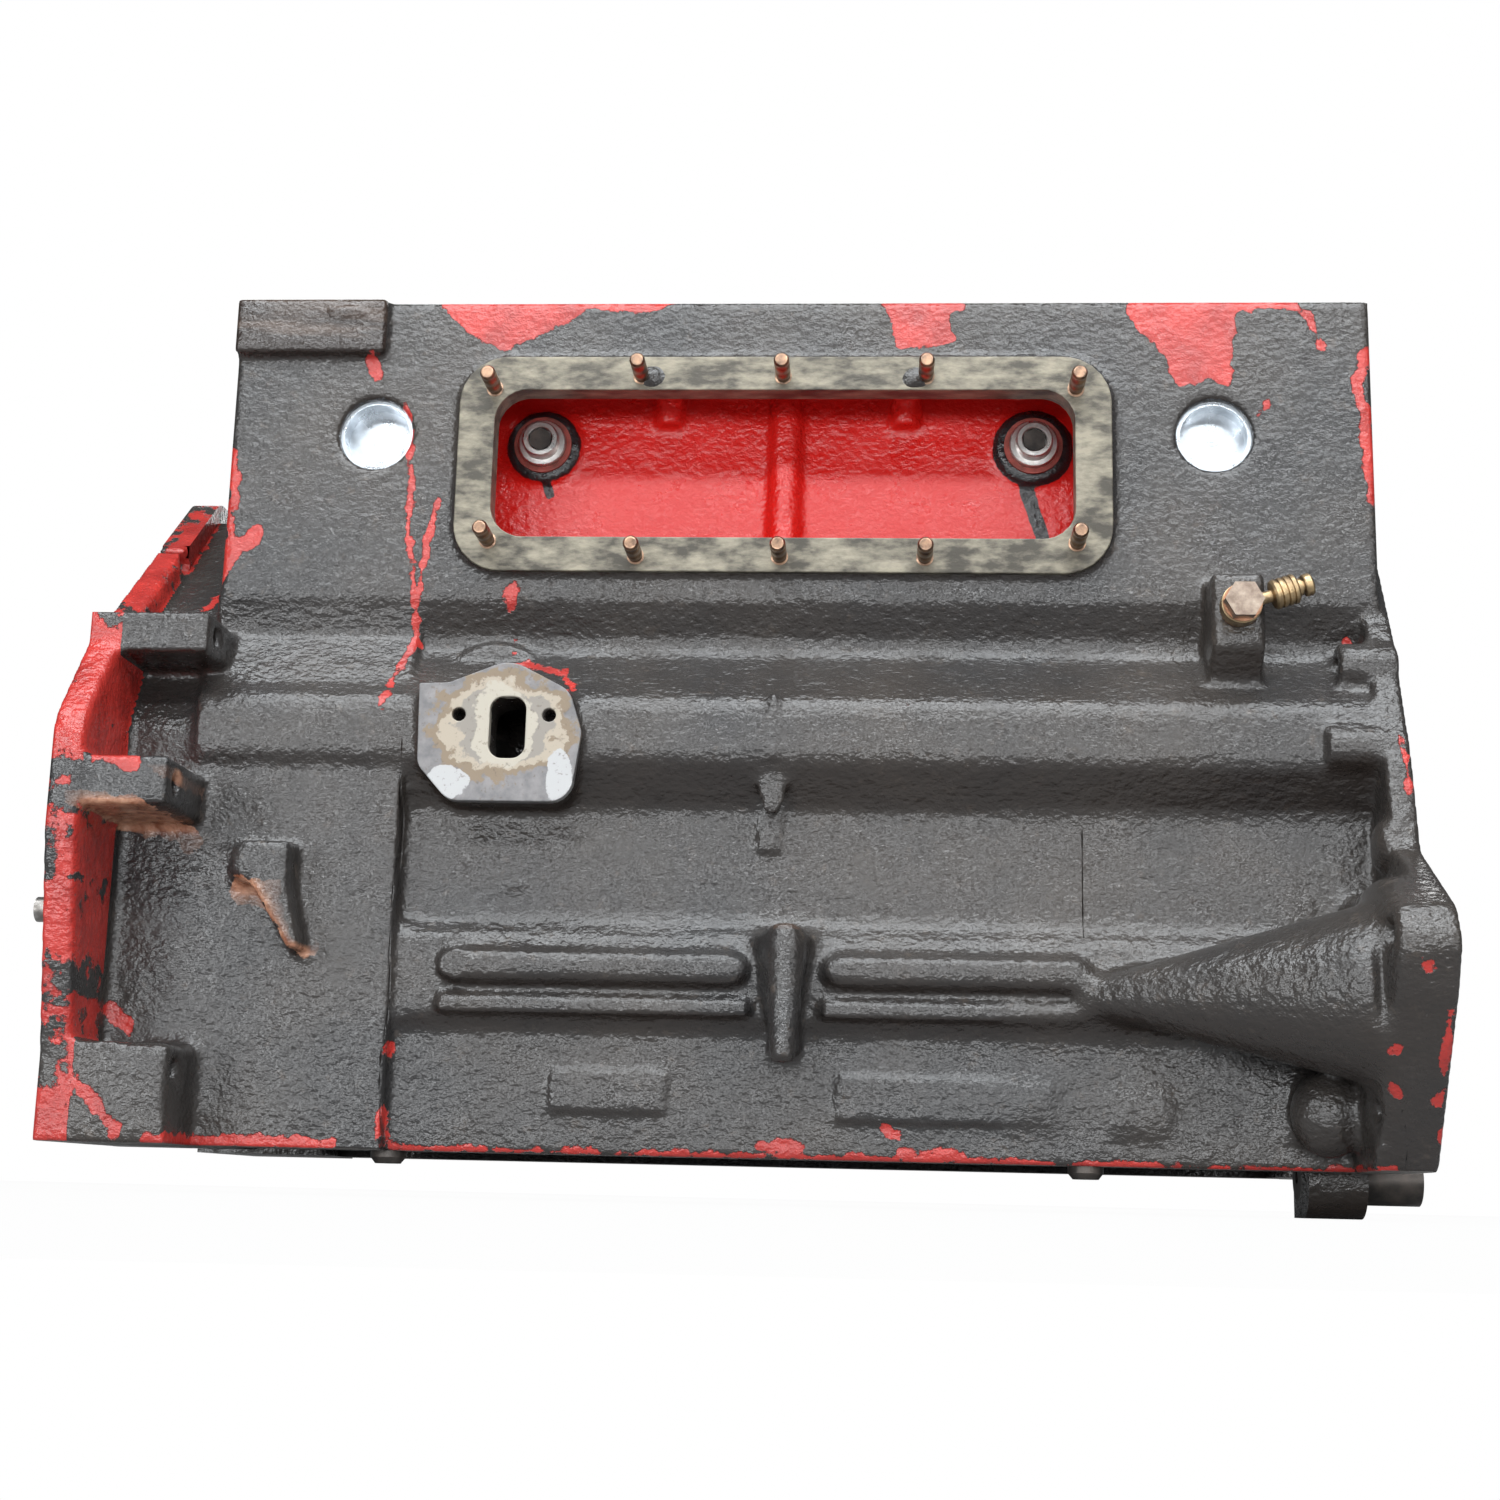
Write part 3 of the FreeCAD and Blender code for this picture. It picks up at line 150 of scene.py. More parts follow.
lens = bpy.data.cameras.new("lens")
lens.lens = 51.58
lens.sensor_width = 36
lens.clip_end = 30
camera = bpy.data.objects.new("camera", lens)
stand = Matrix.Translation(Vector((48.99, -1176.98, -106.93)) * MM)
turn = Matrix.Rotation(math.radians(3.67), 4, "Z")
tilt = Matrix.Rotation(math.radians(90 + 11.77), 4, "X")
roll = Matrix.Rotation(math.radians(1.378), 4, "Z")
camera.matrix_world = stand @ turn @ tilt @ roll
scene.collection.objects.link(camera)
scene.camera = camera


# ------------------------------------------------------------------ block casting
# The block is one sand casting in grey iron. Its walls keep the soft corners of the sand core,
# and the joint faces, the core-plug holes and the pads are machined afterwards.

split_depth = -74.5 * MM     # the camshaft side and the rest of the casting part here
overrun = 5 * MM             # how far the side runs on while it is softened
trim_depth = -73.6           # Y, in mm, past which the softened side is dropped
length_joint = 20            # X, in mm, where the side's skin is in two lengths
iron_grain = 2.1 * MM
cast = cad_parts["block_casting"]

whole = bmesh.new()
whole.from_mesh(cast.data)
bmesh.ops.remove_doubles(whole, verts=whole.verts, dist=0.01 * MM)
wall_tree = BVHTree.FromBMesh(whole)


def wall_depth(x, z):
    """Y of the casting's outer surface on the camshaft side, in mm."""
    hit = wall_tree.ray_cast(Vector((x, -400, z)) * MM, Vector((0, 1, 0)))[0]
    return hit.y / MM


def part_of(source, keep_near):
    """The camshaft side with a closed back and some overrun, or the rest, left open."""
    piece = source.copy()
    cut = bmesh.ops.bisect_plane(
        piece, geom=piece.verts[:] + piece.edges[:] + piece.faces[:], dist=0.001 * MM,
        plane_co=(0, split_depth + (overrun if keep_near else 0), 0), plane_no=(0, 1, 0),
        clear_outer=keep_near, clear_inner=not keep_near,
    )
    if keep_near:
        rim = [item for item in cut["geom_cut"] if isinstance(item, bmesh.types.BMEdge)]
        bmesh.ops.triangle_fill(piece, use_beauty=False, use_dissolve=False, edges=rim)
    return piece


def new_piece(name, form, slot, *materials):
    """Puts a finished bmesh in the scene on the one body, with its materials. The slot argument
    is not used.
    """
    data = bpy.data.meshes.new(name)
    form.to_mesh(data)
    form.free()
    piece = bpy.data.objects.new(name, data)
    scene.collection.objects.link(piece)
    for material in materials:
        data.materials.append(material)
    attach(piece, "root")
    return piece


def applied(piece):
    """Makes a piece's modifiers real and returns its mesh."""
    graph = bpy.context.evaluated_depsgraph_get()
    data = bpy.data.meshes.new_from_object(piece.evaluated_get(graph))
    piece.modifiers.clear()
    piece.data = data
    return data


def wall_block(form, x, z, width, height, front, thickness):
    """A block in the wall whose outer face lies at Y = front."""
    made = bmesh.ops.create_cube(form, size=1)
    bmesh.ops.scale(form, verts=made["verts"], vec=(width * MM, thickness * MM, height * MM))
    bmesh.ops.translate(
        form, verts=made["verts"], vec=(x * MM, (front + thickness / 2) * MM, z * MM)
    )


def blob(form, x, z, width, height, proud):
    """A soft lump on the wall, as a scab in the sand or a bead of weld leaves it."""
    made = bmesh.ops.create_icosphere(form, subdivisions=3, radius=1)
    bmesh.ops.scale(form, verts=made["verts"], vec=(width / 2 * MM, proud * MM, height / 2 * MM))
    bmesh.ops.translate(form, verts=made["verts"], vec=(x * MM, wall_depth(x, z) * MM, z * MM))


side, back = part_of(whole, True), part_of(whole, False)

# Raised plates, ribs and marks: (x, z, width, height, how far they stand out).
for x, z, width, height, proud in (
    (-83, -58, 55, 19, 2.4), (79.5, -59.4, 104, 20, 2.4), (172, -63.5, 29, 19, 2.6),
    (-7, 73, 10, 23, 2.6), (-6, 121, 2.5, 34, 1.8), (-133, 42, 14, 1.8, 1.2),
    (-139, 42, 1.8, 6, 1.2),
):
    wall_block(side, x, z, width, height, wall_depth(x, z) - proud, proud + 4)

# Soft lumps, given the same way.
for x, z, width, height, proud in (
    (258, -62, 38, 42, 15), (-74, 309, 12, 9, 3), (63, 308, 12, 9, 3), (-236, 344, 22, 7, 2.5),
    (145, 76, 4, 4, 1.5), (168, 73, 4, 4, 1.5), (-6, 96, 16, 40, 2.2), (-150, 160, 40, 18, 2),
):
    blob(side, x, z, width, height, proud)

# The dipstick boss widens towards its mouth.
bmesh.ops.create_cone(
    side, cap_ends=True, cap_tris=False, segments=32, radius1=5.5 * MM, radius2=14 * MM,
    depth=62 * MM, matrix=Matrix.Translation(Vector((1.3, -143, -10.5)) * MM),
)

# A strip next to the rear drum is brought level with the wall ahead of it.
strip_left, strip_right, strip_step, strip_height = -197, -183, 6, 6.4
for low in range(-86, 92, strip_step):
    high = low + strip_height
    wall_block(side, (strip_left + strip_right) / 2, (low + high) / 2,
               strip_right - strip_left, high - low,
               wall_depth(strip_right + 2, low + strip_step / 2), 8)
bmesh.ops.recalc_face_normals(side, faces=side.faces)

softened = new_piece("casting_side", side, "block_casting")
sand = softened.modifiers.new("sand_cast", "REMESH")
sand.mode = "VOXEL"
sand.voxel_size = iron_grain
side_mesh = applied(softened)


def places(data):
    """Every vertex of a mesh in mm, as an array."""
    spots = np.empty(len(data.vertices) * 3, np.float32)
    data.vertices.foreach_get("co", spots)
    return spots.reshape(-1, 3) / MM


# The machined planes and the joint stay put, and every other face is softened.
spots = places(side_mesh)
x, y, z = spots.T
framed = (np.abs(x - chest_x) < 171) & (np.abs(z - chest_z) < 61)
padded = (np.abs(x - pad_x) < 46) & (np.abs(z - 115) < 40)
cornered = (x < -188) & (z > 320)
flat = (
    (z > 350.5) | (z < -86.5) | (x > 298) | (x < -343) | (y > -72)
    | (framed & (y < -128)) | (padded & (y < -151)) | (cornered & (y < -129.5))
)
soft = softened.vertex_groups.new(name="as_cast")
soft.add(np.flatnonzero(~flat).tolist(), 1.0, "REPLACE")

# Three places are softened much more: the pocket next to the rear flange, the front swell and
# the wall above the rail bars.
cove = softened.vertex_groups.new(name="cove")
deep = (x > -309) & (x < -262) & (y < -120) & (z > -78) & (z < 60)
deep |= (x > 105) & (x < 284) & (y < -118) & (z > -78) & (z < 84)
deep |= (np.abs(x + 6) < 150) & (y < -125) & (z > -14) & (z < 30)
deep &= ~flat
cove.add(np.flatnonzero(deep).tolist(), 1.0, "REPLACE")
for name, rounds in (("as_cast", 8), ("cove", 40)):
    sweep = softened.modifiers.new(name, "SMOOTH")
    sweep.factor = 0.5
    sweep.iterations = rounds
    sweep.vertex_group = name
side_mesh = applied(softened)

# Where the dark coat is off or something lies on it: (half width, points along it), in mm on
# the XZ plane. Closed outlines stand for the larger bare patches.
bare_patches = (
    ((-190, 357), (-61, 357), (-61, 351), (-77, 347), (-108, 349), (-118, 344), (-128, 338),
     (-140, 331), (-152, 326), (-164, 329), (-176, 340), (-186, 350)),
    ((44, 357), (90, 357), (86, 348), (79, 345), (83, 332), (70, 326), (53, 327), (50, 340)),
    ((172, 357), (262, 357), (255, 350), (228, 347), (226, 330), (224, 306), (211, 310),
     (199, 305), (192, 320), (181, 333), (172, 346)),
    ((-301, 203), (-291, 203), (-291, 218), (-296, 219), (-301, 214)),
)
bare_streaks = (
    (1.8, (228, 350), (255, 349), (265, 343), (270, 328)),
    (3.0, (293, 326), (287, 306), (291, 293), (293, 266), (293, 245)),
    (2.0, (237, 290), (244, 297)),
    (1.6, (-204, 298), (-201, 276), (-198, 254), (-199, 232), (-196, 211), (-193, 190),
     (-192, 168), (-199, 147), (-202, 129)),
    (1.5, (-184, 243), (-188, 219), (-191, 190)),
    (3.2, (-222, 320), (-219, 310)),
    (3.0, (-143, 196), (-143, 188)),
    (1.6, (-141, 171), (-140, 163)),
    (2.2, (-152, 150), (-134, 156), (-114, 150), (-106, 139)),
    (1.2, (59, 132), (59.5, 130)),
    (2.6, (-294, 268), (-291, 243), (-293, 232), (-291, 218), (-294, 202), (-300, 198)),
    (1.4, (-188, -87), (279, -88)),
    (3.4, (-8, -82), (9, -83)),
    (2.6, (51, -73), (56, -76)),
    (2.2, (58, -84), (88, -85)),
    (3.4, (-290, -87), (-215, -86)),
    (1.6, (-190, -38), (-190, -42)),
    (1.8, (-191, -70), (-192, -82)),
    (4.0, (-318, 178), (-296, 210), (-278, 224)),
    (4.2, (-322, 92), (-306, 88)),
    (3.6, (-328, -24), (-318, -33)),
    (3.0, (-326, -61), (-306, -83)),
    (2.4, (285, -1), (286, -3)), (2.2, (274, -35), (275, -36)), (2.2, (300, -35), (302, -37)),
    (2.0, (276, -53), (277, -54)), (2.4, (305, 8), (305, 2)), (2.2, (300, -70), (300, -74)),
    (2.0, (280, 174), (281, 172)), (1.6, (296, 120), (297, 90)), (1.6, (297, -20), (296, -60)),
)
copper_streaks = (
    (5.0, (-333, 70), (-303, 66), (-292, 59)),
    (6.0, (-266, 35), (-246, 32), (-232, 8)),
    (3.0, (-300, 92), (-290, 84)),
)
seal_streaks = (
    (21.5, (126, 288.3), (126, 288.4)), (20.0, (-137, 288.3), (-137, 288.4)),
    (3.6, (122, 268), (127, 252), (131, 240), (132, 222)),
    (2.6, (-136, 270), (-133, 262)),
)
cracks = (
    (0.2, (-189, 123), (-191, 96), (-190, 62), (-192, 24), (-190, -18), (-193, -50), (-190, -85)),
    (0.1, (146, 74), (146, 20)), (0.1, (279, -58), (284, -74), (285, -90)),
)


# Distances are stored with wear_base added, so that no stored value is below 0. A cover fades
# out over wear_blur either side of its edge.
wear_base = 25.0
wear_blur = 0.25


def inside_by(flat_spots, streaks, outlines=()):
    """How far each point lies inside the nearest streak or outline, at least -wear_base mm."""
    best = np.full(len(flat_spots), -wear_base, np.float32)

    def to_line(begin, end):
        begin, end = np.array(begin, np.float32), np.array(end, np.float32)
        along = end - begin
        share = np.clip(((flat_spots - begin) @ along) / max(along @ along, 1e-6), 0, 1)
        return np.linalg.norm(flat_spots - begin - share[:, None] * along, axis=1)

    for width, *line in streaks:
        for begin, end in zip(line, line[1:]):
            best = np.maximum(best, width - to_line(begin, end))
    for outline in outlines:
        near = np.full(len(flat_spots), 99.0, np.float32)
        within = np.zeros(len(flat_spots), bool)
        for (ax, az), (bx, bz) in zip(outline, outline[1:] + outline[:1]):
            near = np.minimum(near, to_line((ax, az), (bx, bz)))
            px, pz = flat_spots.T
            crosses = (az > pz) != (bz > pz)
            rise = bz - az if bz != az else 1e-6
            within ^= crosses & (px < (bx - ax) * (pz - az) / rise + ax)
        best = np.maximum(best, np.where(within, near, -near))
    return best


def weathered(data):
    """Writes the wear of the coat on a casting mesh, as distances in mm plus wear_base."""
    spots = places(data)
    x, y, z = spots.T
    across = spots[:, (0, 2)]
    near = y < -95
    flange = x < -328.5

    # The red layer shows at chips, on the rim and top of the rear flange, and inside the chest.
    red = inside_by(across, bare_streaks, bare_patches)
    red[~near] = -wear_base
    rim = near & flange & (y < -150)
    mottle = 2.4 * np.sin(z / 10) * np.sin(z / 27 + x / 9 + 1)
    red[rim] = np.maximum(red[rim], np.where(z > 88, 2.2, 0.8)[rim] + mottle[rim])
    top = flange & (z > 100) & (y < 20)
    red[top] = np.maximum(red[top], 1.4 + mottle[top])
    chest = (np.abs(x - chest_x) < 166) & (np.abs(z - chest_z) < 66) & (y > -121.5) & (y < -70)
    red[chest] = 20
    red[(x < -329) & (y > 150)] = 1.5

    copper = inside_by(across, copper_streaks)
    copper[y > -140] = -wear_base
    seal = inside_by(across, seal_streaks)
    seal[~chest] = -wear_base
    crack = inside_by(across, cracks)
    crack[~near] = -wear_base
    corner_pad = (x < -189) & (z > 321.5) & (y < -128.5)
    brown = np.where(corner_pad, 6.0, -wear_base)
    brown[(np.abs(x - 1.3) < 13) & (z > 19) & (z < 24) & (y < -140)] = 4
    for name, values in (
        ("under_red", red + wear_base), ("chest_red", np.where(chest, 1.0, 0.0)),
        ("copper", copper + wear_base), ("seal", seal + wear_base),
        ("crack", crack + wear_base), ("brown", brown + wear_base),
    ):
        held = data.attributes.new(name, "FLOAT", "POINT")
        held.data.foreach_set("value", values.astype(np.float32))


def effect(name, inputs, outputs):
    """An empty node group with named sockets."""
    group = bpy.data.node_groups.new(name, "ShaderNodeTree")
    for label, value in inputs:
        socket = group.interface.new_socket(label, in_out="INPUT", socket_type="NodeSocketFloat")
        socket.default_value = value
    for label in outputs:
        group.interface.new_socket(label, in_out="OUTPUT", socket_type="NodeSocketFloat")
    return group


def step(nodes, links, first, second, operation):
    """A two-input maths node fed by sockets or numbers."""
    node = nodes.new("ShaderNodeMath")
    node.operation = operation
    for socket, value in zip(node.inputs, (first, second)):
        if isinstance(value, bpy.types.NodeSocket):
            links.new(value, socket)
        else:
            socket.default_value = value
    return node.outputs[0]


def grain(nodes, links, scale, detail, squash=None):
    """Noise in object space, as features per metre, squashed along the axes if asked."""
    coords = nodes.new("ShaderNodeTexCoord")
    noise = nodes.new("ShaderNodeTexNoise")
    noise.inputs["Scale"].default_value = scale
    noise.inputs["Detail"].default_value = detail
    noise.inputs["Roughness"].default_value = 0.6
    source = coords.outputs["Object"]
    if squash:
        mapping = nodes.new("ShaderNodeMapping")
        mapping.inputs["Scale"].default_value = squash
        links.new(source, mapping.inputs["Vector"])
        source = mapping.outputs[0]
    links.new(source, noise.inputs["Vector"])
    return noise.outputs["Fac"]


def ramp(nodes, links, value, low, high, to_low=0.0, to_high=1.0):
    """Maps a value from low..high on to to_low..to_high, clamped."""
    node = nodes.new("ShaderNodeMapRange")
    for label, number in zip(
        ("From Min", "From Max", "To Min", "To Max"), (low, high, to_low, to_high)
    ):
        node.inputs[label].default_value = number
    links.new(value, node.inputs["Value"])
    return node.outputs[0]


def tinted(nodes, links, share, under, over):
    """Lays one colour over another by a share."""
    node = nodes.new("ShaderNodeMix")
    node.data_type = "RGBA"
    links.new(share, node.inputs["Factor"])
    for socket, value in ((node.inputs[6], under), (node.inputs[7], over)):
        if isinstance(value, bpy.types.NodeSocket):
            links.new(value, socket)
        else:
            socket.default_value = (*value, 1)
    return node.outputs[2]


# One effect turns a stored distance into a ragged-edged cover.
ragged = effect("ragged_edge", (("Distance", 0), ("Raggedness", 3)), ("Cover",))
r_nodes, r_links = ragged.nodes, ragged.links
r_in, r_out = r_nodes.new("NodeGroupInput"), r_nodes.new("NodeGroupOutput")
wander = step(r_nodes, r_links, grain(r_nodes, r_links, 110, 8), 0.5, "SUBTRACT")
wander = step(r_nodes, r_links, wander, r_in.outputs["Raggedness"], "MULTIPLY")
reach = step(r_nodes, r_links, r_in.outputs["Distance"], wander, "ADD")
r_links.new(ramp(r_nodes, r_links, reach, wear_base - wear_blur, wear_base + wear_blur),
            r_out.inputs["Cover"])

# Another gives the skin of a brushed coat on sand-cast iron.
peel = effect("brushed_coat", (("Coarse", 0.95),), ("Height",))
p_nodes, p_links = peel.nodes, peel.links
p_in, p_out = p_nodes.new("NodeGroupInput"), p_nodes.new("NodeGroupOutput")
fine = grain(p_nodes, p_links, 330, 2.5, (0.72, 1, 1))
fine = step(p_nodes, p_links, fine, 0.62, "MULTIPLY")
coarse = grain(p_nodes, p_links, 75, 3.5)
coarse = step(p_nodes, p_links, coarse, p_in.outputs["Coarse"], "MULTIPLY")
p_links.new(step(p_nodes, p_links, fine, coarse, "ADD"), p_out.inputs["Height"])


def shaded(name):
    """A new material with its nodes, its links and its main shader."""
    material = bpy.data.materials.new(name)
    material.use_nodes = True
    nodes, links = material.node_tree.nodes, material.node_tree.links
    return material, nodes, links, nodes["Principled BSDF"]


def cover_of(nodes, links, attribute, raggedness):
    """The ragged cover that a stored distance gives, from 0 to 1."""
    stored = nodes.new("ShaderNodeAttribute")
    stored.attribute_name = attribute
    edge = nodes.new("ShaderNodeGroup")
    edge.node_tree = ragged
    edge.inputs["Raggedness"].default_value = raggedness
    links.new(stored.outputs["Fac"], edge.inputs["Distance"])
    return edge.outputs["Cover"]


# The coat is near black with rusty freckles. Where it faces the floor it is darker and browner:
# painted shade on the undersides.
coat, nodes, links, iron = shaded("dark_enamel")
tone = tinted(nodes, links, ramp(nodes, links, grain(nodes, links, 9, 4), 0.35, 0.7),
              (0.024, 0.0228, 0.0228), (0.042, 0.035, 0.030))
tone = tinted(nodes, links, ramp(nodes, links, grain(nodes, links, 140, 6), 0.60, 0.74, 0, 0.4),
              tone, (0.105, 0.082, 0.065))
facing = nodes.new("ShaderNodeNewGeometry")
turned = nodes.new("ShaderNodeSeparateXYZ")
links.new(facing.outputs["Normal"], turned.inputs[0])
# Faces turned towards the floor get a dark brown, which is painted shade on the undersides.
tone = tinted(nodes, links, ramp(nodes, links, turned.outputs["Z"], -0.15, -0.85, 0, 0.7), tone,
              (0.020, 0.013, 0.010))

# Rubbed brown metal, copper-red along the copper streaks where the faces turn towards the floor,
# the red layer, cracks and black sealer.
brown_cover = cover_of(nodes, links, "brown", 2)
brushed = grain(nodes, links, 60, 5, (0.12, 1, 1))
rubbed = tinted(nodes, links, ramp(nodes, links, brushed, 0.45, 0.7),
                (0.024, 0.017, 0.014), (0.105, 0.072, 0.055))
tone = tinted(nodes, links, brown_cover, tone, rubbed)
# The copper-red shows only where a face along the copper streaks turns towards the floor.
copper_cover = step(nodes, links, cover_of(nodes, links, "copper", 14),
                    ramp(nodes, links, turned.outputs["Z"], 0.05, -0.35, 0, 0.9), "MULTIPLY")
copper_red = tinted(nodes, links, ramp(nodes, links, grain(nodes, links, 120, 5), 0.35, 0.65),
              (0.23, 0.075, 0.035), (0.62, 0.34, 0.22))
tone = tinted(nodes, links, copper_cover, tone, copper_red)
red_cover = cover_of(nodes, links, "under_red", 12)
stored = nodes.new("ShaderNodeAttribute")
stored.attribute_name = "chest_red"
red = tinted(nodes, links, ramp(nodes, links, grain(nodes, links, 45, 5), 0.4, 0.72),
             (0.43, 0.030, 0.023), (0.25, 0.016, 0.013))
red = tinted(nodes, links, stored.outputs["Fac"], red, (0.56, 0.010, 0.007))
tone = tinted(nodes, links, red_cover, tone, red)
crack_cover = cover_of(nodes, links, "crack", 0.9)
tone = tinted(nodes, links, crack_cover, tone, (0.022, 0.018, 0.016))
seal_cover = cover_of(nodes, links, "seal", 3)
tone = tinted(nodes, links, seal_cover, tone, (0.010, 0.010, 0.011))
links.new(tone, iron.inputs["Base Color"])

# The red layer is duller than the coat and lies below it, and a crack lies deeper still.
matt = ramp(nodes, links, grain(nodes, links, 40, 5), 0.3, 0.75, 0.17, 0.33)
matt = step(nodes, links, matt,
            ramp(nodes, links, red_cover, 0, 1, 0, 0.06), "ADD")
links.new(matt, iron.inputs["Roughness"])
iron.inputs["Specular IOR Level"].default_value = 0.6
skin = nodes.new("ShaderNodeGroup")
skin.node_tree = peel
lift = step(nodes, links, skin.outputs["Height"],
            ramp(nodes, links, red_cover, 0, 1, 0, 0.25), "SUBTRACT")
lift = step(nodes, links, lift,
            ramp(nodes, links, crack_cover, 0, 1, 0, 0.9), "SUBTRACT")
bump = nodes.new("ShaderNodeBump")
bump.inputs["Strength"].default_value = 1.0
bump.inputs["Distance"].default_value = 1.5 * MM
links.new(lift, bump.inputs["Height"])
links.new(bump.outputs[0], iron.inputs["Normal"])


def metal(name, light, dark, rough, metallic, scale=70, squash=None, relief_mm=0.15):
    """A worn metal or gasket surface: two tones in blotches, with a fine grain."""
    material, nodes, links, body = shaded(name)
    blotch = grain(nodes, links, scale, 6, squash)
    links.new(tinted(nodes, links, ramp(nodes, links, blotch, 0.38, 0.66), light, dark),
              body.inputs["Base Color"])
    links.new(ramp(nodes, links, blotch, 0.3, 0.7, rough, min(rough + 0.2, 1)),
              body.inputs["Roughness"])
    body.inputs["Metallic"].default_value = metallic
    bump = nodes.new("ShaderNodeBump")
    bump.inputs["Strength"].default_value = 0.4
    bump.inputs["Distance"].default_value = relief_mm * MM
    links.new(grain(nodes, links, scale * 6, 3, squash), bump.inputs["Height"])
    links.new(bump.outputs[0], body.inputs["Normal"])
    return material


cut_iron = metal("machined_iron", (0.36, 0.35, 0.34), (0.22, 0.20, 0.185), 0.32, 0.85, 50,
                 (0.2, 1, 1))
gasket = metal("gasket_face", (0.052, 0.046, 0.036), (0.25, 0.225, 0.17), 0.34, 0.35, 150,
               (0.45, 1, 1), 0.3)
zinc = metal("bright_zinc", (0.62, 0.66, 0.70), (0.42, 0.46, 0.50), 0.22, 0.9, 90)
steel = metal("plain_steel", (0.42, 0.40, 0.38), (0.20, 0.185, 0.17), 0.28, 1.0, 160)
# This dark steel serves the oiled studs and shaft, and also the painted shade in the chest plugs'
# sockets.
dark_steel_and_socket_shade = metal("oiled_steel_and_socket_shade", (0.05, 0.045, 0.042), (0.10, 0.085, 0.075), 0.3, 0.7, 110)
bright_steel = metal("bright_steel", (0.66, 0.64, 0.62), (0.40, 0.37, 0.35), 0.24, 1.0, 140)
tan_steel = metal("tan_steel", (0.44, 0.36, 0.29), (0.20, 0.15, 0.12), 0.3, 0.9, 130)
brass = metal("dull_brass", (0.50, 0.36, 0.20), (0.25, 0.18, 0.11), 0.3, 1.0, 180)
copper = metal("soft_copper", (0.55, 0.30, 0.19), (0.30, 0.15, 0.09), 0.35, 1.0, 180)
liner_iron = metal("honed_liner", (0.40, 0.40, 0.40), (0.26, 0.25, 0.24), 0.22, 1.0, 120)
fibre = metal("seal_ring", (0.30, 0.05, 0.035), (0.14, 0.03, 0.02), 0.5, 0.0, 150)


# The deck, sump, front and rear planes: axis, way they face, and how far out they lie in mm.
machined_planes = ((2, 1, 351.5), (2, -1, 87.6), (0, 1, 299.2), (0, -1, 344.2))


def finished_faces(data, rounded):
    """Slot 1 for the machined planes of the casting, and smooth shading where it is rounded."""
    count = len(data.polygons)
    centres, ways = np.empty(count * 3, np.float32), np.empty(count * 3, np.float32)
    data.polygons.foreach_get("center", centres)
    data.polygons.foreach_get("normal", ways)
    centres, ways = centres.reshape(-1, 3) / MM, ways.reshape(-1, 3)
    machined = np.zeros(count, bool)
    for axis, way, reach in machined_planes:
        machined |= (ways[:, axis] * way > 0.95) & (centres[:, axis] * way > reach)
    data.polygons.foreach_set("material_index", machined.astype(np.int32))
    data.polygons.foreach_set("use_smooth", np.full(count, rounded))
    data.update()


# The outer skin keeps its fine grain, in two lengths. The hidden inner faces get a coarser one.
lengths = {"rear": bmesh.new(), "front": bmesh.new(), "core": bmesh.new()}
for part, form in lengths.items():
    form.from_mesh(side_mesh)
    drop = []
    for face in form.faces:
        middle = face.calc_center_median() / MM
        in_chest = (abs(middle.x - chest_x) < 168 and abs(middle.z - chest_z) < 68
                    and middle.y < -76)
        skin = "rear" if middle.x < length_joint else "front"
        belongs = skin if middle.y < -112 or in_chest else "core"
        if belongs != part or middle.y > trim_depth:
            drop.append(face)
    bmesh.ops.delete(form, geom=drop, context="FACES")
bpy.data.objects.remove(softened)
side_piece = new_piece("casting_side_rear", lengths["rear"], "block_casting", coat, cut_iron)
front_piece = new_piece("casting_side_front", lengths["front"], "block_casting", coat, cut_iron)
core_piece = new_piece("casting_side_core", lengths["core"], "block_casting", coat, cut_iron)
coarser = core_piece.modifiers.new("coarser", "DECIMATE")
coarser.ratio = 0.22
applied(core_piece)
back_piece = new_piece("casting_back", back, "block_casting", coat, cut_iron)
for piece, rounded in (
    (side_piece, True), (front_piece, True), (core_piece, True), (back_piece, False)
):
    weathered(piece.data)
    finished_faces(piece.data, rounded)
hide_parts("block_casting")


# ------------------------------------------------------------------ tappet-chest frame
# The chest cover seats on this flat ring, which shows bare iron under the remains of a gasket.

def outline_of(corners, steps=7):
    """Points round an outline whose corners are (x, z, radius), in mm."""
    points = []
    for index, (x, z, radius) in enumerate(corners):
        here = Vector((x, z))
        before = Vector(corners[index - 1][:2]) - here
        after = Vector(corners[(index + 1) % len(corners)][:2]) - here
        half = before.angle(after) / 2
        run = radius / math.tan(half)
        start, end = here + before.normalized() * run, here + after.normalized() * run
        inwards = (before.normalized() + after.normalized()).normalized()
        centre = here + inwards * radius / math.sin(half)
        for number in range(steps + 1):
            share = number / steps
            spoke = (start - centre).lerp(end - centre, share).normalized() * radius
            points.append(centre + spoke)
    return points


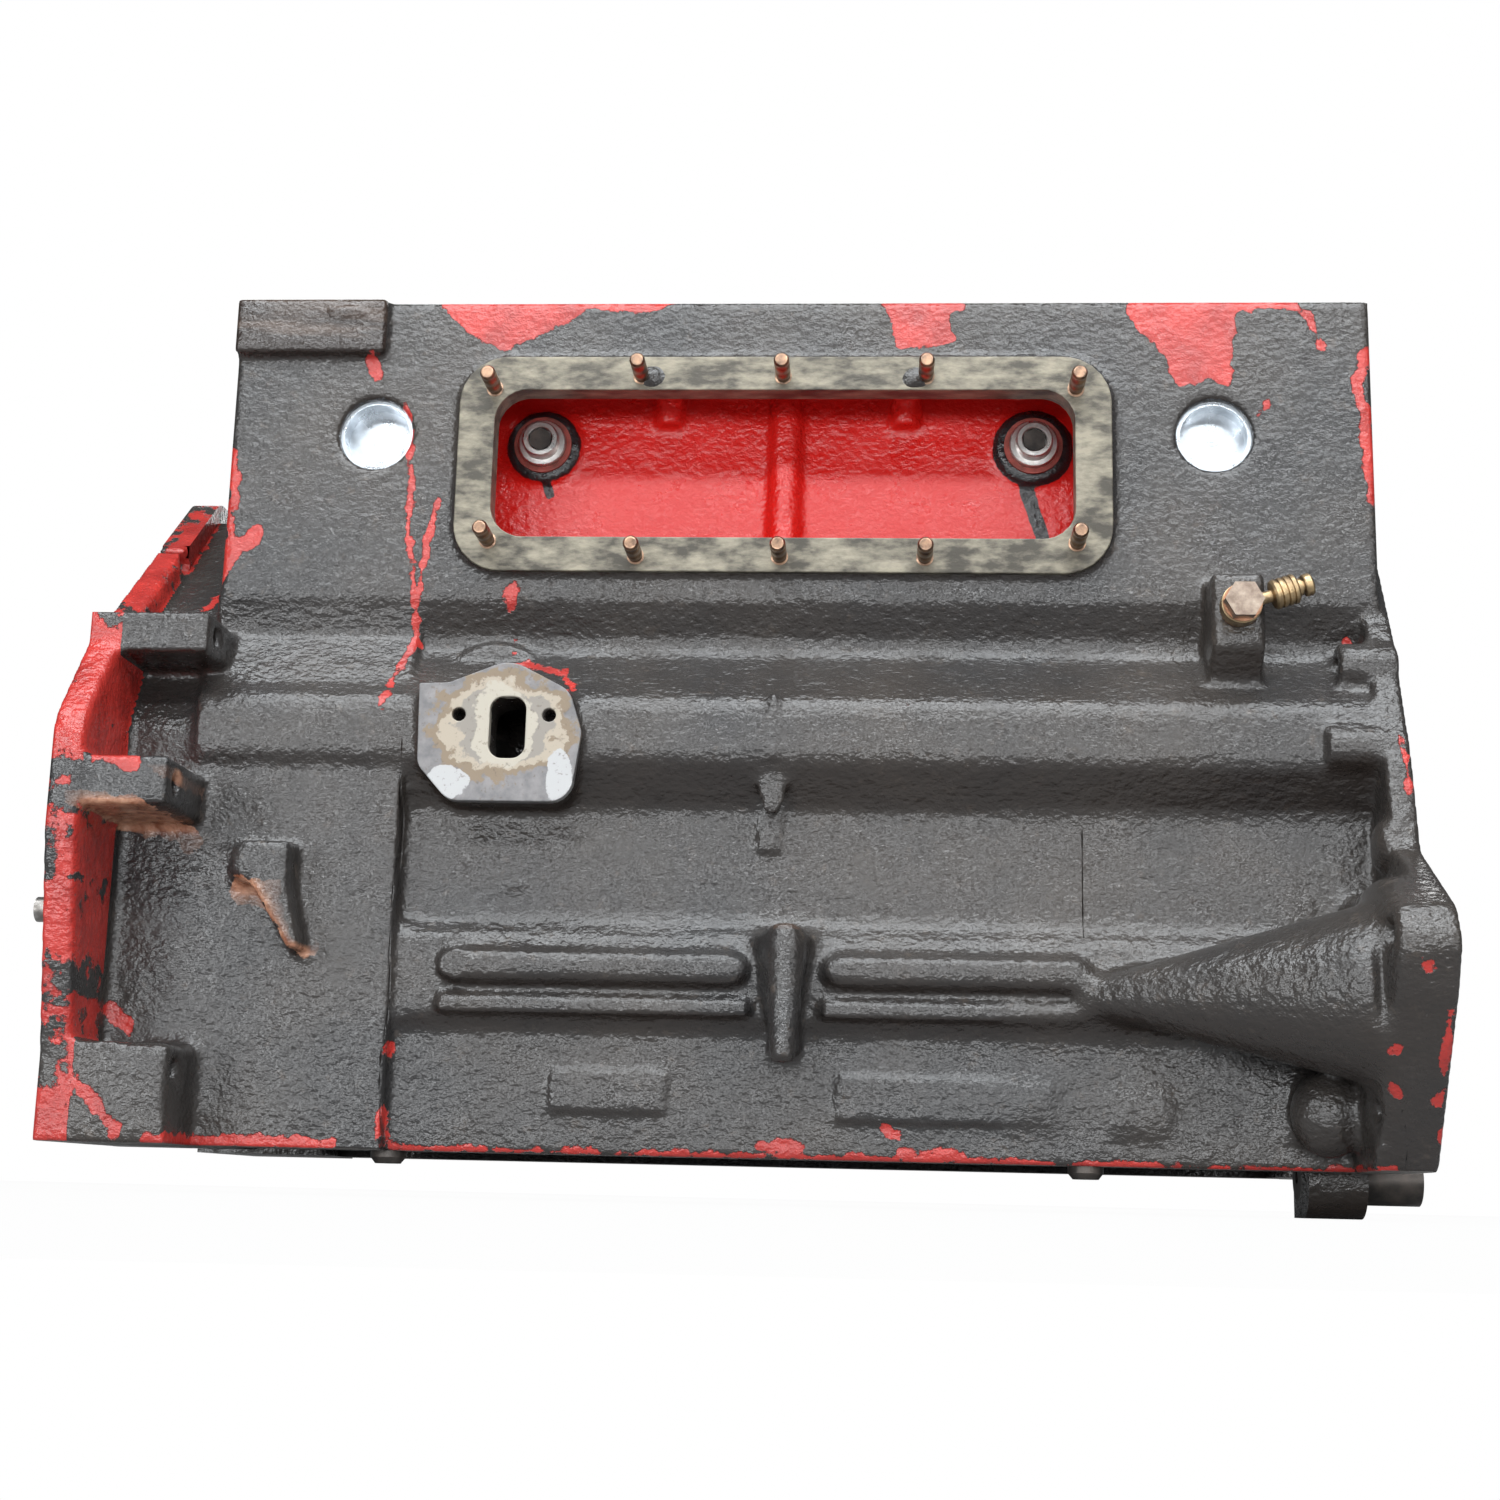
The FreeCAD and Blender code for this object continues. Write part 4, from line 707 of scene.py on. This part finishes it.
def slab(name, outlines, front, depth, chamfer, material):
    """A flat plate on the casting that faces -Y, with holes and broken front edges."""
    form = bmesh.new()
    for outline in outlines:
        ring = [form.verts.new((p.x * MM, front * MM, p.y * MM)) for p in outline]
        for one, other in zip(ring, ring[1:] + ring[:1]):
            form.edges.new((one, other))
    bmesh.ops.triangle_fill(form, use_beauty=True, use_dissolve=False, edges=form.edges[:],
                            normal=(0, -1, 0))
    rim = [edge for edge in form.edges if edge.is_boundary]
    pushed = bmesh.ops.extrude_edge_only(form, edges=rim)
    walls = [v for v in pushed["geom"] if isinstance(v, bmesh.types.BMVert)]
    bmesh.ops.translate(form, verts=walls, vec=(0, depth * MM, 0))
    bmesh.ops.recalc_face_normals(form, faces=form.faces)
    bmesh.ops.bevel(form, geom=rim, offset=chamfer * MM, segments=2, profile=0.5,
                    affect="EDGES", material=-1)
    new_piece(name, form, "block_casting", material)


def framed_by(width, height, radius, grown):
    """A rounded rectangle about the middle of the chest, grown by a little on every side."""
    half_w, half_h = width / 2 + grown, height / 2 + grown
    left, right = chest_x - half_w, chest_x + half_w
    low, high = chest_z - half_h, chest_z + half_h
    return outline_of([
        (left, low, radius), (right, low, radius), (right, high, radius), (left, high, radius),
    ])


slab("chest_frame_face", [framed_by(336, 115.5, 25, 0.3), framed_by(300, 80.4, 16.5, -0.5)],
     -130.35, 13, 0.6, gasket)


# ------------------------------------------------------------------ cover studs
# Ten studs stand in two rows above and below the chest opening. Their ends are chamfered, and a
# ripple in the material stands for the thread.

thread, nodes, links, body = shaded("stud_thread")
links.new(tinted(nodes, links, ramp(nodes, links, grain(nodes, links, 240, 5), 0.38, 0.66),
                 (0.40, 0.25, 0.165), (0.15, 0.10, 0.075)), body.inputs["Base Color"])
body.inputs["Metallic"].default_value = 0.95
body.inputs["Roughness"].default_value = 0.34
turns = nodes.new("ShaderNodeTexWave")
turns.bands_direction = "Y"
turns.inputs["Scale"].default_value = 35.460993
place_in = nodes.new("ShaderNodeTexCoord")
links.new(place_in.outputs["Object"], turns.inputs["Vector"])
groove = nodes.new("ShaderNodeBump")
groove.inputs["Strength"].default_value = 0.9
groove.inputs["Distance"].default_value = 0.5 * MM
links.new(turns.outputs["Fac"], groove.inputs["Height"])
links.new(groove.outputs[0], body.inputs["Normal"])


def lathe(form, centre, profile, segments=28):
    """Turns (radius, y) steps, in mm, about an axis along Y."""
    x, z = centre
    rings = []
    for radius, y in profile:
        rings.append([
            form.verts.new((
                (x + radius * math.cos(2 * math.pi * n / segments)) * MM, y * MM,
                (z + radius * math.sin(2 * math.pi * n / segments)) * MM,
            )) for n in range(segments)
        ])
    for near, far in zip(rings, rings[1:]):
        for n in range(segments):
            m = (n + 1) % segments
            form.faces.new((near[n], near[m], far[m], far[n]))
    form.faces.new(rings[0])
    form.faces.new(rings[-1])


studs = bmesh.new()
for reach, top, bottom in ((-150, 40.3, -42.2), (-73.5, 47, -50.1), (0, 47, -50.1),
                           (73.5, 47, -50.1), (150, 40.3, -42.2)):
    for rise in (top, bottom):
        lathe(studs, (chest_x + reach, chest_z + rise), (
            (2.5, -154), (3.1, -153.9), (3.97, -152.7), (3.97, -136), (3.6, -135.6), (3.6, -131),
            (4.4, -130.6), (4.4, -129),
        ))
bmesh.ops.recalc_face_normals(studs, faces=studs.faces)
stud_piece = new_piece("cover_stud_ends", studs, "stud", thread)
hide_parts("cover_studs")


# ------------------------------------------------------------------ chest plugs
# Two steel plugs close drillings in the back wall of the chest. Each has a collar and a hex
# socket, and a dark hex block in the socket is painted shade for its inside.

plug_heads, socket_shade = bmesh.new(), bmesh.new()
for middle in chest_plug_xs:
    lathe(plug_heads, (middle, chest_plug_z), (
        (12.9, -84.5), (12.9, -87.2), (12.3, -87.8), (9.9, -88), (9.7, -93.6), (9.0, -94.3),
        (6.9, -94.4), (6.4, -93.9), (6.4, -89),
    ), 36)
    # Painted shade: a dark steel hex block stands in each socket for the shadow inside it.
    bmesh.ops.create_cone(
        socket_shade, cap_ends=True, cap_tris=False, segments=6, radius1=6.5 * MM, radius2=6.5 * MM,
        depth=3 * MM, matrix=Matrix.Translation(Vector((middle, -91.6, chest_plug_z)) * MM)
        @ Matrix.Rotation(math.radians(90), 4, "X"),
    )
bmesh.ops.recalc_face_normals(plug_heads, faces=plug_heads.faces)
heads_piece = new_piece("chest_plug_heads", plug_heads, "bolt", bright_steel)
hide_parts("chest_plug_front")
socket_shade_piece = new_piece("chest_plug_socket_shade", socket_shade, "bolt", dark_steel_and_socket_shade)
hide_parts("chest_plug_rear")


# ------------------------------------------------------------------ lift-pump pad
# The lift pump bolts to this petal-shaped face. Its lever passes through the slot, and the two
# bolt holes sit either side of it.

def circle(x, z, radius, steps=24):
    """Points round a circle, as for an outline."""
    return [
        Vector((x + radius * math.cos(2 * math.pi * n / steps),
                z + radius * math.sin(2 * math.pi * n / steps))) for n in range(steps)
    ]


petal = outline_of([
    (-181.6, 139, 1), (-166.6, 139.5, 6), (-136.6, 151.5, 18), (-106.6, 136, 12),
    (-99.6, 115, 14), (-104.6, 80, 12), (-164.6, 80, 12), (-180.6, 98, 10),
])
lever_slot = outline_of([
    (-145.6, 101.5, 6.6), (-127.6, 101.5, 6.6), (-127.6, 132.5, 6.6), (-145.6, 132.5, 6.6),
])
pad_iron, nodes, links, body = shaded("pad_face")
seat = nodes.new("ShaderNodeTexCoord")
spot = nodes.new("ShaderNodeSeparateXYZ")
links.new(seat.outputs["Object"], spot.inputs[0])


def from_spot(x, z, half_width, half_height):
    """1 at the rim of an ellipse on the pad, and less inside it."""
    parts = []
    for label, middle, half in (("X", x, half_width), ("Z", z, half_height)):
        off = step(nodes, links, spot.outputs[label], middle * MM, "SUBTRACT")
        off = step(nodes, links, off, half * MM, "DIVIDE")
        parts.append(step(nodes, links, off, off, "MULTIPLY"))
    return step(nodes, links, *parts, "ADD")


blotch = grain(nodes, links, 130, 7)
fade = step(nodes, links, grain(nodes, links, 90, 6), 0.5, "SUBTRACT")
bare = tinted(nodes, links, ramp(nodes, links, blotch, 0.35, 0.68), (0.125, 0.122, 0.125),
              (0.22, 0.21, 0.21))

# The gasket's mark lies in rings round the slot, and two pale patches lie at the lower corners.
for x, z, half_width, half_height, tint in (
    (pad_x, pad_z, 37, 28, (0.19, 0.145, 0.10)), (pad_x, pad_z, 31, 22.5, (0.33, 0.285, 0.225)),
    (pad_x, pad_z, 24, 19, (0.22, 0.20, 0.175)), (pad_x, pad_z, 15, 21, (0.36, 0.33, 0.275)),
    (-166, 89, 11, 8, (0.37, 0.37, 0.37)), (-110, 91, 7, 13, (0.37, 0.37, 0.37)),
):
    edge = step(nodes, links, from_spot(x, z, half_width, half_height),
                step(nodes, links, fade, 2.6, "MULTIPLY"), "ADD")
    bare = tinted(nodes, links, ramp(nodes, links, edge, 1.06, 0.94), bare, tint)
scratch = ramp(nodes, links, grain(nodes, links, 420, 5), 0.6, 0.68, 0, 0.5)
bare = tinted(nodes, links, scratch, bare, (0.10, 0.075, 0.055))
links.new(bare, body.inputs["Base Color"])
body.inputs["Metallic"].default_value = 0.25
body.inputs["Roughness"].default_value = 0.42

slab("pump_pad_face", [petal, lever_slot, circle(-161, 123.3, 3.4), circle(-116.2, 123.3, 3.4)],
     -153.3, 5, 0.5, pad_iron)


# ------------------------------------------------------------------ drain tap
# A brass banjo ring carries a neck, a ribbed block and a screw, which point towards the timing
# end and a little upwards.

def turned_brass(name, centre, profile, segments, hang=None):
    """A brass piece turned about Y, and then hung off the bolt if asked."""
    form = bmesh.new()
    lathe(form, centre, profile, segments)
    if hang:
        bmesh.ops.transform(form, matrix=hang, verts=form.verts)
    bmesh.ops.recalc_face_normals(form, faces=form.faces)
    return new_piece(name, form, "brass", brass)


turned_brass("tap_ring", (tap_x, tap_z), (
    (8.6, -159.1), (9.9, -158.3), (9.9, -151.2), (8.6, -150.3),
), 36)
lean = Matrix.Rotation(math.radians(-18), 4, "Y") @ Matrix.Rotation(math.radians(90), 4, "Z")
hang = Matrix.Translation(Vector((tap_x, -154.7, tap_z)) * MM) @ lean
tap_arm = turned_brass("tap_arm", (0, 0), (
    (3.0, -8), (3.0, -15.5), (6.6, -16), (7.4, -17), (7.4, -18.4), (6.6, -18.8), (6.6, -19.4),
    (7.4, -19.8), (7.4, -21.4), (6.6, -21.8), (6.6, -22.4), (7.4, -22.8), (7.4, -24.4),
    (6.6, -24.8), (6.6, -25.4), (7.4, -25.8), (7.4, -27.4), (6.2, -28.4), (4.4, -28.6),
    (4.4, -30.4),
), 32, hang)
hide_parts("drain_tap_body")
tap_screw = turned_brass("tap_screw", (0, 0), (
    (3.2, -30.2), (3.2, -31.6), (5.2, -31.8), (5.6, -32.4), (5.6, -35.2), (4.9, -36),
), 32, hang)
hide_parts("drain_tap_screw")


# ------------------------------------------------------------------ carried-over parts
# The liners, caps, core plugs, dowels, seals and bolts keep their built shapes, and get the
# surface of what they are made of. Names are matched from the top of the list down.

redrawn = {"block_casting", "cover_studs", "drain_tap_body", "drain_tap_screw",
           "chest_plug_front", "chest_plug_rear"}
surfaces = (
    ("liner", liner_iron), ("core_plug", zinc), ("camshaft_rear_plug", zinc), ("seal", fibre),
    ("drain_washers", copper), ("drain_banjo_bolt", tan_steel), ("sump_rail_studs", dark_steel_and_socket_shade),
    ("main_bearing_cap", coat), ("idler_shaft", dark_steel_and_socket_shade), ("", steel),
)
for name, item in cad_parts.items():
    if name in redrawn:
        continue
    surface = next(surface for part, surface in surfaces if part in name)
    item.data.materials.clear()
    item.data.materials.append(surface)
